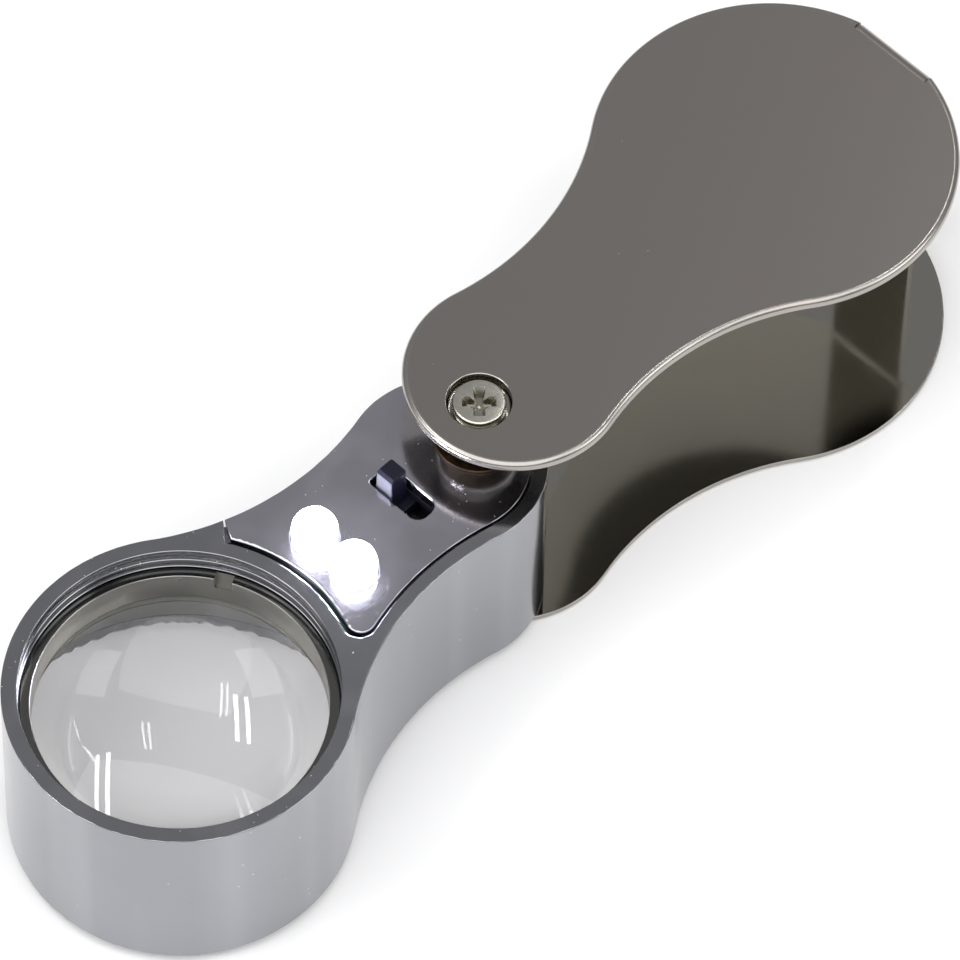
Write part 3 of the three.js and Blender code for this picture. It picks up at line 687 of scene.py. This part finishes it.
def slot_outline(inset):
    """The switch's slot: nearly square at the +Y end, round at the -Y end."""
    half_width = SLOT["width"] / 2 - inset
    half_length = SLOT["length"] / 2 - inset
    points = []
    for i, (sx, sy) in enumerate(((1, 1), (-1, 1), (-1, -1), (1, -1))):
        radius = SLOT["corner" if sy > 0 else "round_corner"] - inset
        centre = (SWITCH_X + sx * (half_width - radius), SWITCH_Y + sy * (half_length - radius))
        points += arc(centre, radius, i * pi / 2, (i + 1) * pi / 2, 8)
    return points


def panel_outline(inset):
    """The inlaid panel's outline, moved in by inset: along the barrel, inside the rim on the -Y side
    and round the pivot, and out past the head's outline on the +Y side."""
    small, big, near_waist = pear_centres(HEAD, -1)
    far_waist = pear_centres(HEAD, 1)[2]
    barrel_r = HEAD["big_r"] + BARREL_SEAM * inset
    rim_waist_r = HEAD["waist_r"] + RIM + inset
    rim_end_r = HEAD["small_r"] - RIM - inset
    fillet_r = PANEL_FILLET - inset
    fillet = meet(near_waist, rim_waist_r + fillet_r, big, barrel_r + fillet_r, -1)
    far_turn = asin(PANEL_FAR_CORNER.y / barrel_r)
    far_r = HEAD["waist_r"] - PAST
    far_from = -acos((PANEL_FAR_CORNER.x - far_waist.x) / far_r)
    near_turn = bearing(near_waist, fillet)
    points = [
        *arc(fillet, fillet_r, bearing(fillet, near_waist), bearing(fillet, big) - 2 * pi, 16),
        *arc(big, barrel_r, bearing(big, fillet), far_turn, 60)[1:],
        *arc(far_waist, far_r, far_from, bearing(far_waist, small), 24),
        *arc(small, HEAD["small_r"] + PAST, bearing(small, far_waist), RIM_START, 16)[1:],
        *arc(small, rim_end_r, RIM_START, bearing(small, near_waist), 52),
        *arc(near_waist, rim_waist_r, bearing(near_waist, small), near_turn, 24)[1:-1],
    ]
    return points[::-1]


# ---- mesh tools ----

NICKS = random.Random(7)


def mesh_object(name, points, faces):
    """A closed mesh, its faces pointing out."""
    mesh = bpy.data.meshes.new(name)
    mesh.from_pydata([tuple(p) for p in points], [], faces)
    work = bmesh.new()
    work.from_mesh(mesh)
    bmesh.ops.recalc_face_normals(work, faces=work.faces)
    work.to_mesh(mesh)
    work.free()
    made = bpy.data.objects.new(name, mesh)
    bpy.context.scene.collection.objects.link(made)
    return made


def loft(name, rings, closed=False):
    """A solid through rings of equally many points; closed joins the last ring to the first."""
    count = len(rings[0])
    points = [p for ring in rings for p in ring]
    pairs = [(i, i + 1) for i in range(len(rings) - 1)]
    if closed:
        pairs.append((len(rings) - 1, 0))
    faces = []
    for low, high in pairs:
        for i in range(count):
            j = (i + 1) % count
            faces.append((low * count + i, low * count + j, high * count + j, high * count + i))
    if not closed:
        faces.append(tuple(range(count))[::-1])
        faces.append(tuple((len(rings) - 1) * count + i for i in range(count)))
    return mesh_object(name, points, faces)


def rounding(low, high, low_round, high_round, steps=5):
    """(inset, height) pairs up a wall whose lower and upper edges are rounded."""
    levels = []
    for i in range(steps + 1):
        turn = i / steps * pi / 2
        levels.append((low_round * (1 - sin(turn)), low + low_round * (1 - cos(turn))))
    for i in range(steps + 1):
        turn = i / steps * pi / 2
        levels.append((high_round * (1 - cos(turn)), high - high_round * (1 - sin(turn))))
    return levels


def flaring(low, high, rim, steps=5):
    """(inset, height) pairs of a cutter that leaves a rounded edge at height high."""
    levels = [(0.0, low)]
    for i in range(steps + 1):
        turn = i / steps * pi / 2
        levels.append((-rim * (1 - cos(turn)), high - rim * (1 - sin(turn))))
    levels.append((-rim, high + PAST))
    return levels


def stack(name, outline, levels, worn=0.0, easing=lambda point: 1.0):
    """A solid from an outline function of inset, and (inset, height) pairs. Easing scales the inset
    from place to place. Wear makes the eased edges uneven: each point's inset grows or shrinks by up
    to that share."""
    whole = outline(0.0)
    shares = [easing(p) * (1 + worn * NICKS.uniform(-1, 1)) for p in whole]
    rings = []
    for inset, z in levels:
        moved = [p + (q - p) * share for p, q, share in zip(whole, outline(inset), shares)]
        rings.append([(p.x, p.y, z) for p in moved])
    return loft(name, rings)


def prism(name, outline, low, high):
    """A plain upright prism."""
    return loft(name, [[(p.x, p.y, z) for p in outline] for z in (low, high)])


def lathe(name, profile, x=0.0, y=0.0, steps=64):
    """A solid turned about the vertical at (x, y), from (radius, height) pairs that start and end on
    the axis or close on themselves."""
    closed = profile[0] == profile[-1]
    radii = profile[:-1] if closed else profile
    points = []
    rows = []
    for radius, z in radii:
        if radius == 0:
            rows.append([len(points)] * steps)
            points.append((x, y, z))
            continue
        rows.append(list(range(len(points), len(points) + steps)))
        turns = [2 * pi * i / steps for i in range(steps)]
        points += [(x + radius * cos(t), y + radius * sin(t), z) for t in turns]
    faces = []
    pairs = list(zip(rows, rows[1:] + rows[:1] if closed else rows[1:]))
    for low, high in pairs:
        for i in range(steps):
            j = (i + 1) % steps
            corners = list(dict.fromkeys((low[i], low[j], high[j], high[i])))
            if len(corners) > 2:
                faces.append(tuple(corners))
    return mesh_object(name, points, faces)


def rod(name, radius, low, high, x=0.0, y=0.0, steps=64):
    """A plain upright cylinder."""
    return lathe(name, [(0, low), (radius, low), (radius, high), (0, high)], x, y, steps)


def block(name, low, high):
    """A box between two corners."""
    (x0, y0, z0), (x1, y1, z1) = low, high
    return prism(name, [Vector(p) for p in ((x0, y0), (x1, y0), (x1, y1), (x0, y1))], z0, z1)


def combine(target, operation, *others):
    """Joins the others to the target, cuts them out of it or keeps what they share."""
    for other in others:
        step = target.modifiers.new("step", "BOOLEAN")
        step.operation = operation
        step.solver = "EXACT"
        step.object = other
        bpy.context.view_layer.update()
        graph = bpy.context.evaluated_depsgraph_get()
        mesh = bpy.data.meshes.new_from_object(target.evaluated_get(graph))
        target.modifiers.clear()
        target.data = mesh
        bpy.data.objects.remove(other)
    return target


def cut(target, *others):
    """Cuts the others out of the target."""
    return combine(target, "DIFFERENCE", *others)


def join(target, *others):
    """Joins the others to the target."""
    return combine(target, "UNION", *others)


def turned_over(piece, height):
    """The piece turned upside down about the X axis, for the far side of something height tall."""
    piece.data.transform(Matrix.Translation((0, 0, height)) @ Matrix.Rotation(pi, 4, "X"))
    return piece


def settle(piece, body, node, slot, *materials, smooth=35.0):
    """Turns a finished piece into metres in the model's frame and puts it in its CAD node's place.
    Edges that turn by more than smooth degrees stay sharp."""
    piece.name = node + "_shaped"
    mesh = piece.data
    mesh.transform(Matrix.Translation((PIVOT.x, PIVOT.y, 0)) @ Matrix.Scale(MM, 4))
    for material in materials:
        mesh.materials.append(material)
    mesh.shade_smooth()
    mesh.set_sharp_from_angle(angle=radians(smooth))
    weighted = piece.modifiers.new("weighted_normals", "WEIGHTED_NORMAL")
    weighted.keep_sharp = True
    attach(piece, body)
    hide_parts(node)
    return piece


# ---- cover ----


def bridge_side(inset):
    """The side view of the bridge and its two bends, shrunk by inset, as (x, z) points."""
    start = BRIDGE_X - BRIDGE_BEND - 3 + inset
    bend_x = BRIDGE_X - BRIDGE_BEND
    low = (bend_x, BRIDGE_BEND)
    high = (bend_x, COVER_HEIGHT - BRIDGE_BEND)
    outer = BRIDGE_BEND - inset
    inner = BRIDGE_BEND - SHEET + inset
    return [
        Vector((start, inset)),
        *arc(low, outer, -pi / 2, 0, 10),
        *arc(high, outer, 0, pi / 2, 10),
        Vector((start, COVER_HEIGHT - inset)),
        Vector((start, COVER_HEIGHT - SHEET + inset)),
        *arc(high, inner, pi / 2, 0, 8),
        *arc(low, inner, 0, -pi / 2, 8),
        Vector((start, SHEET - inset)),
    ]


def bridge():
    """The strip that joins the two plates, with eased side edges."""
    ease = 0.14
    rings = []
    for inset, y in rounding(-BRIDGE_HALF_WIDTH, BRIDGE_HALF_WIDTH, ease, ease, 3):
        rings.append([(p.x, y, p.y) for p in bridge_side(inset)])
    return loft("bridge", rings)


def cover_plate(low, low_round, high_round):
    """One plate, its outer edge rounded by tumbling, cut away where the bridge bends off it."""
    high = low + SHEET
    levels = rounding(low, high, low_round, high_round)
    plate = stack("plate", lambda inset: pear(COVER, EDGE_SPREAD * inset), levels)
    half = BRIDGE_HALF_WIDTH + BRIDGE_SLIT
    bend_x = BRIDGE_X - BRIDGE_BEND
    return cut(plate, block("gap", (bend_x, -half, low - PAST), (bend_x + 4, half, high + PAST)))


def dimple_boss():
    """What a pressed screw dimple adds behind the lower plate."""
    radius = DIMPLE_R + DIMPLE_WALL
    back = DIMPLE_DEPTH + SHEET
    ease = 0.35
    edge = arc((radius - ease, back - ease), ease, 0, pi / 2, 5)
    return lathe("boss", [(0, SHEET / 2), (radius, SHEET / 2), *edge, (0, back)])


def dimple_hollow():
    """What a pressed screw dimple takes out of the lower plate, with a rounded mouth and corner."""
    mouth = 0.12
    corner = 0.25
    rim = arc((DIMPLE_R + mouth, mouth), mouth, -pi / 2, -pi, 6)
    foot = arc((DIMPLE_R - corner, DIMPLE_DEPTH - corner), corner, 0, pi / 2, 4)
    return lathe("hollow", [
        (0, -PAST),
        (DIMPLE_R + mouth, -PAST),
        *rim,
        *foot,
        (POST_BORE_R, DIMPLE_DEPTH),
        (POST_BORE_R, DIMPLE_DEPTH + SHEET + PAST),
        (0, DIMPLE_DEPTH + SHEET + PAST),
    ])


def cover_finish(face):
    """Which of the cover's materials a face has: 0 outside, 1 inside, 2 on the rounded outer edges."""
    x, y, z = (face.center - Vector((PIVOT.x, PIVOT.y, 0))) / MM
    between_plates = SHEET - GAP < z < COVER_HEIGHT - SHEET + GAP and x < BRIDGE_X - SHEET + 0.08
    near_plate = z < SHEET + 0.01 or z > COVER_HEIGHT - SHEET - 0.01
    on_plate_edge = near_plate and abs(face.normal.z) < 0.3
    if between_plates and not on_plate_edge:
        return 1
    in_dimple = Vector((x, y)).length < DIMPLE_R + DIMPLE_WALL
    if abs(face.normal.z) < 0.998 and not in_dimple:
        return 2
    return 0


def build_cover(outside, inside, edges):
    """The U-bent sheet, its inner faces left bright and its rounded edges dulled."""
    cover = join(
        cover_plate(0, OUTER_ROUND, INNER_ROUND),
        cover_plate(COVER_HEIGHT - SHEET, INNER_ROUND, OUTER_ROUND),
        bridge(),
    )
    join(cover, dimple_boss(), turned_over(dimple_boss(), COVER_HEIGHT))
    cut(cover, dimple_hollow(), turned_over(dimple_hollow(), COVER_HEIGHT))
    settle(cover, "cover", "folding_cover", "cover_sheet", outside, inside, edges)
    for face in cover.data.polygons:
        face.material_index = cover_finish(face)


def build_post(material):
    """The post between the plates, with a collar under the upper plate."""
    shoulder = HEAD_TOP + WASHER_HEIGHT + 0.06
    ease = 0.15
    post = lathe("post", [
        (POST_BORE_R, POST_LOW.z),
        (POST_R - ease, POST_LOW.z),
        (POST_R, POST_LOW.z + ease),
        (POST_R, shoulder),
        (POST_COLLAR_R - ease, shoulder),
        (POST_COLLAR_R, shoulder + ease),
        (POST_COLLAR_R, POST_HIGH.z - ease),
        (POST_COLLAR_R - ease, POST_HIGH.z),
        (POST_BORE_R, POST_HIGH.z),
        (POST_BORE_R, POST_LOW.z),
    ])
    settle(post, "cover", "pivot_post", "pivot_brass", material)


def build_washer(node, material):
    """A flat washer with eased edges."""
    low, high = box_mm(node)
    inner = POST_R + 0.1
    outer = (high.x - low.x) / 2
    ease = 0.06
    washer = lathe("washer", [
        (inner, low.z),
        (outer - ease, low.z),
        (outer, low.z + ease),
        (outer, high.z - ease),
        (outer - ease, high.z),
        (inner, high.z),
        (inner, low.z),
    ])
    settle(washer, "cover", node, "pivot_brass", material)


def cross_cutter(top):
    """A cross recess: two tapered slots and a cone, 45 degrees to the length of the cover."""
    levels = (
        (top - RECESS_DEPTH, 1.0, 0.3),
        (top - 0.1, 1.4, 0.45),
        (top + 0.02, 1.5, 0.52),
        (top + PAST, 1.9, 0.8),
    )
    cutters = []
    for turn in (pi / 4, 3 * pi / 4):
        spin = Matrix.Rotation(turn, 2)
        rings = []
        for z, half_length, half_width in levels:
            outline = rounded_rectangle(0, 0, 2 * half_length, 2 * half_width, 0.1)
            rings.append([(*(spin @ p), z) for p in outline])
        cutters.append(loft("slot", rings))
    cone = [(0, top - RECESS_DEPTH - 0.25), (0.95, top), (0.95, top + PAST), (0, top + PAST)]
    return [*cutters, lathe("cone", cone, steps=24)]


def build_screw(node, over, material):
    """A pan-head screw with a cross recess and a threaded shank; over turns it upside down."""
    top = SCREW_HIGH.z
    seat = top - SCREW_HEAD_HEIGHT
    ease = 0.2
    thread = 0.14
    profile = [(0, SCREW_LOW.z), (SCREW_SHANK_R - 0.3, SCREW_LOW.z)]
    z = SCREW_LOW.z + 0.3
    while z < seat - SCREW_PITCH:
        profile += [(SCREW_SHANK_R - thread, z), (SCREW_SHANK_R, z + SCREW_PITCH / 2)]
        z += SCREW_PITCH
    crown = arc((SCREW_HEAD_R - ease, top - ease), ease, 0, pi / 2, 6)
    profile += [
        (SCREW_SHANK_R - thread, seat),
        (SCREW_HEAD_R - 0.08, seat),
        (SCREW_HEAD_R, seat + 0.08),
        *crown,
        (0, top),
    ]
    screw = cut(lathe("screw", profile), *cross_cutter(top))
    if over:
        turned_over(screw, COVER_HEIGHT)
    settle(screw, "cover", node, "screw_steel", material, smooth=30)


# ---- head ----


def head_blank():
    """The head's outer form."""
    levels = rounding(HEAD_BOTTOM, HEAD_TOP, HEAD_FOOT_ROUND, HEAD_TOP_ROUND)
    return stack("blank", lambda inset: pear(HEAD, inset), levels, worn=0.5)


def bore_cutter():
    """The barrel's bore above the lip, with a coarse thread and an eased mouth over the ring."""
    mouth = 0.1
    threads = []
    z = RING_TOP - THREAD_PITCH
    while z < HEAD_TOP - mouth - 0.8 * THREAD_PITCH:
        threads += [
            (BORE_R, z),
            (BORE_R + 0.05, z + 0.03),
            (BORE_R + THREAD_DEPTH, z + 0.25),
            (BORE_R + THREAD_DEPTH, z + 0.6),
            (BORE_R + 0.04, z + 0.72),
        ]
        z += THREAD_PITCH
    rim = arc((BORE_R + mouth, HEAD_TOP - mouth), mouth, pi, pi / 2, 5)
    return lathe("bore", [
        (0, LIP_TOP),
        (BORE_R, LIP_TOP),
        *threads,
        *rim,
        (BORE_R + mouth, HEAD_TOP + PAST),
        (0, HEAD_TOP + PAST),
    ], LENS_X, 0, ROUND_STEPS)


def lip_cutter():
    """The hole in the cast lip at the barrel's foot, with the ragged edge the casting left."""
    flash = 0.3
    levels = [
        (-0.3, HEAD_BOTTOM - PAST),
        (-0.3, HEAD_BOTTOM),
        (0.0, HEAD_BOTTOM + 0.4),
        (flash, LIP_TOP - 0.2),
        (flash, LIP_TOP + 0.1),
    ]
    return stack("lip", circle(LENS_X, 0, LIP_R, 240), levels, worn=0.3)


def neck_chamber():
    """The chamber in the neck, between the barrel's wall and the boss round the pivot."""
    chamber = prism("chamber", pear(HEAD, WALL), HEAD_BOTTOM + FLOOR, PANEL_BOTTOM + PAST / 2)
    return cut(
        chamber,
        rod("barrel", HEAD["big_r"], HEAD_BOTTOM, HEAD_TOP, LENS_X, 0, ROUND_STEPS),
        rod("boss", BOSS_R, HEAD_BOTTOM, HEAD_TOP),
    )


def seam_easing(point):
    """How far the seam's lips are rounded: fully along the barrel and little elsewhere."""
    from_barrel = (point - Vector((LENS_X, 0))).length - HEAD["big_r"]
    return 1.0 if from_barrel < 0.5 else 0.5


def build_shell(material):
    """The head's one-piece shell: barrel, neck and pivot boss."""
    below = HEAD_BOTTOM - PAST
    pocket_levels = flaring(PANEL_BOTTOM, HEAD_TOP, PANEL_ROUND)
    pocket = stack("pocket", panel_outline, pocket_levels, SEAM_WEAR, seam_easing)
    door_hole = soft_rectangle(
        DOOR_X, 0, DOOR["width"] + 2 * DOOR_GAP, DOOR["length"] + 2 * DOOR_GAP, DOOR["corner"],
    )
    shell = cut(
        head_blank(),
        bore_cutter(),
        lip_cutter(),
        neck_chamber(),
        pocket,
        rod("post_hole", POST_R + 0.15, below, HEAD_TOP + PAST),
        rod("counterbore", DIMPLE_R + DIMPLE_WALL + 0.45, below, POST_LOW.z + WASHER_HEIGHT + 0.04),
        stack("door_hole", door_hole, [(0, below), (0, HEAD_BOTTOM + FLOOR + PAST / 2)]),
    )
    settle(shell, "head", "head_shell", "head_chrome", material)


def lamp_places():
    """The two lamps' places across the neck."""
    return [sum(v.y for v in box_mm(node)) / 2 for node in ("lamp_left", "lamp_right")]


def build_panel(material):
    """The inlaid panel, with rounded edges along its seam and round its holes."""
    low = PANEL_BOTTOM + GAP
    levels = rounding(low, HEAD_TOP, 0.02, PANEL_ROUND)
    plate = stack("panel", lambda inset: panel_outline(SEAM + inset), levels, SEAM_WEAR, seam_easing)
    combine(plate, "INTERSECT", head_blank())
    cutters = [
        stack("post_hole", circle(0, 0, POST_R + 0.3), flaring(low - PAST, HEAD_TOP, 0.15)),
        stack("slot", slot_outline, flaring(low - PAST, HEAD_TOP, 0.2)),
    ]
    for y in lamp_places():
        hole = circle(LAMP_X, y, LAMP_R + 0.1)
        cutters.append(stack("lamp_hole", hole, flaring(low - PAST, HEAD_TOP, 0.12)))
    cut(plate, *cutters)
    settle(plate, "head", "lamp_panel", "panel_chrome", material)


def build_ring(material):
    """The threaded ring that holds the lens, with two spanner notches."""
    ring = lathe("ring", [
        (CLEAR_R + 0.1, RING_BOTTOM),
        (STACK_R, RING_BOTTOM),
        (STACK_R, RING_TOP - 0.08),
        (STACK_R - 0.08, RING_TOP),
        (CLEAR_R + 0.05, RING_TOP),
        (CLEAR_R, RING_TOP - 0.05),
        (CLEAR_R, RING_BOTTOM + 0.1),
        (CLEAR_R + 0.1, RING_BOTTOM),
    ], 0, 0, ROUND_STEPS)
    half_width = NOTCH["width"] / 2
    for side in (-1, 1):
        near, far = sorted((side * (CLEAR_R - 0.1), side * (STACK_R - 0.12)))
        low = (near, -half_width, RING_TOP - NOTCH["depth"])
        cut(ring, block("notch", low, (far, half_width, RING_TOP + PAST)))
    turned = Matrix.Rotation(radians(NOTCH["turn"]), 4, "Z")
    ring.data.transform(Matrix.Translation((LENS_X, 0, 0)) @ turned)
    settle(ring, "head", "retaining_ring", "ring_metal", material)


def build_sleeve(material):
    """The sleeve below the lens."""
    low, high = box_mm("lens_sleeve")
    ease = 0.1
    sleeve = lathe("sleeve", [
        (CLEAR_R, low.z + ease),
        (CLEAR_R + ease, low.z),
        (STACK_R, low.z),
        (STACK_R, high.z),
        (CLEAR_R + ease, high.z),
        (CLEAR_R, high.z - ease),
        (CLEAR_R, low.z + ease),
    ], LENS_X, 0, ROUND_STEPS)
    settle(sleeve, "head", "lens_sleeve", "sleeve_metal", material)


def build_lens(material):
    """The lens: two equal domes and a ground edge."""
    steps = 40
    middle = (LENS_LOW.z + LENS_HIGH.z) / 2
    crown = LENS_HIGH.z - middle
    over = []
    for i in range(steps + 1):
        radius = LENS_R * i / steps
        over.append((radius, crown - LENS_RADIUS + sqrt(LENS_RADIUS ** 2 - radius ** 2)))
    profile = [(r, middle - z) for r, z in over] + [(r, middle + z) for r, z in reversed(over)]
    lens = lathe("lens", profile, LENS_X, 0, ROUND_STEPS)
    settle(lens, "head", "magnifier_lens", "lens_glass", material)


def build_lamp(node, material):
    """A lamp: flange, body and domed tip, and two square leads."""
    low, high = box_mm(node)
    y = (low.y + high.y) / 2
    flange = box_mm("circuit_board")[1].z + GAP
    shoulder = high.z - LAMP_R
    dome = arc((0, shoulder), LAMP_R, 0, pi / 2, 20)[:-1]
    lamp = lathe("lamp", [
        (0, flange),
        (LAMP_R + 0.2, flange),
        (LAMP_R + 0.2, flange + 0.7),
        (LAMP_R + 0.1, flange + 0.8),
        (LAMP_R, flange + 0.8),
        *dome,
        (0, high.z),
    ], LAMP_X, y)
    half = LAMP_LEAD["half"]
    for x in (LAMP_X - LAMP_LEAD["offset"], LAMP_X + LAMP_LEAD["offset"]):
        join(lamp, block("lead", (x - half, y - half, low.z), (x + half, y + half, flange + 0.4)))
    settle(lamp, "head", node, "lamp_resin", material)


def build_knob(material):
    """The switch's knob on its slider, a little narrower at its top and bevelled towards the lamps."""
    y = (KNOB_LOW.y + KNOB_HIGH.y) / 2
    centre = Vector((SWITCH_X, y))
    top = KNOB_HIGH.z
    slider_top = PANEL_BOTTOM - 0.9
    size = (SLIDER["width"], SLIDER["length"], SLIDER["corner"])
    levels = rounding(KNOB_LOW.z, slider_top, 0.08, 0.12, 3)
    knob = stack("slider", lambda inset: rounded_rectangle(SWITCH_X, y, *size, inset), levels)
    rings = []
    for inset, z in rounding(slider_top - 0.3, top, 0.02, 0.14, 4):
        rise = max(0.0, (z - HEAD_TOP) / (top - HEAD_TOP))
        width = KNOB["width"] - 0.15 * rise
        length = KNOB["length"] - 0.3 * rise
        outline = rounded_rectangle(SWITCH_X, y, width, length, KNOB["corner"])
        rings.append([(*(centre + (p - centre) * (1 - inset)), z) for p in outline])
    join(knob, loft("stem", rings))
    left = SWITCH_X - KNOB["width"] / 2
    bevel = ((left - 0.3, top - 0.6), (left + 0.7, top + 0.2), (left - 0.3, top + 0.2))
    cut(knob, loft("bevel", [[(x, side, z) for x, z in bevel] for side in (y - 2, y + 2)]))
    settle(knob, "switch", "switch_knob", "knob_plastic", material)


def build_door(material):
    """The battery door: a plate with two tongues, a snap hook and a nail groove."""
    bottom = HEAD_BOTTOM
    top = HEAD_BOTTOM + FLOOR
    left = DOOR_X - DOOR["width"] / 2 - DOOR_GAP
    right = DOOR_X + DOOR["width"] / 2 + DOOR_GAP
    outline = soft_rectangle(DOOR_X, 0, DOOR["width"], DOOR["length"], DOOR["corner"])
    door = stack("door", outline, rounding(bottom, top, 0.2, 0.05))
    for y in (-3.2, 3.2):
        low, high = y - 0.8, y + 0.8
        join(door, block("tongue", (left + 0.15, low, top - 0.3), (left + 1.8, high, top + 0.7)))
        join(door, block("tip", (left - 0.6, low, top + GAP), (left + 0.15, high, top + 0.7)))
    join(door, block("hook", (right - 1.1, -1.5, top - 0.3), (right - 0.3, 1.5, top + 1.0)))
    groove = soft_rectangle(right - 1.6, 0, 0.8, 5.2, 0.35)
    groove_levels = [(-0.1, bottom - PAST), (-0.1, bottom), (0.0, bottom + 0.1), (0.05, bottom + 0.4)]
    cut(door, stack("groove", groove, groove_levels))
    settle(door, "head", "battery_door", "panel_chrome", material)


# ---- assembly ----


def dress(material, *nodes):
    """Gives CAD nodes that keep their own shape a material."""
    for node in nodes:
        materials = frame["nodes"][node].data.materials
        materials.clear()
        materials.append(material)


def build_cover_body():
    """The cover and the pieces of the pivot that turn with it."""
    # painted shade: the post and washers get a near-black brass colour, standing in for the shade under
    # the upper plate
    shade_darkened_brass = brass("pivot_brass", (0.085, 0.055, 0.032), (0.05, 0.036, 0.025), 0.22)
    screws = screw_steel()
    build_cover(satin_steel(), polished_steel(), tumbled_steel())
    build_post(shade_darkened_brass)
    build_washer("friction_washer", shade_darkened_brass)
    build_washer("thrust_washer", shade_darkened_brass)
    build_screw("pivot_screw_top", False, screws)
    build_screw("pivot_screw_bottom", True, screws)


def build_head_body():
    """The head and the pieces that are seen on it."""
    panel = panel_chrome()
    lamp = lamp_resin()
    build_shell(head_chrome())
    build_panel(panel)
    build_ring(ring_metal())
    build_sleeve(sleeve_metal())
    build_lens(lens_glass())
    build_lamp("lamp_left", lamp)
    build_lamp("lamp_right", lamp)
    build_door(panel)


def dress_inner_parts():
    """Materials for the pieces inside the neck, which keep their CAD shapes."""
    black = plastic("black_plastic", (0.012, 0.011, 0.02), 0.45)
    # painted shade: the switch leaf gets a near-black colour, so that the slot looks dark
    leaf = brass("slot_shade_leaf", (0.03, 0.03, 0.035), (0.02, 0.02, 0.025), 0.4)
    strip = brass("contact_brass", (0.62, 0.48, 0.22), (0.48, 0.36, 0.17), 0.22)
    dress(board_resin(), "circuit_board")
    dress(resistor_lacquer(), "series_resistor")
    dress(black, "switch_case", "cell_holder")
    dress(strip, "upper_contact", "return_strip")
    dress(leaf, "switch_leaf")
    dress(spring_steel(), "contact_spring")
    dress(cell_steel(), "button_cell_1", "button_cell_2", "button_cell_3")


bpy.context.scene.view_settings.view_transform = "Standard"
add_camera()
add_floor()
add_lights()
build_cover_body()
build_head_body()
build_knob(knob_plastic())
dress_inner_parts()
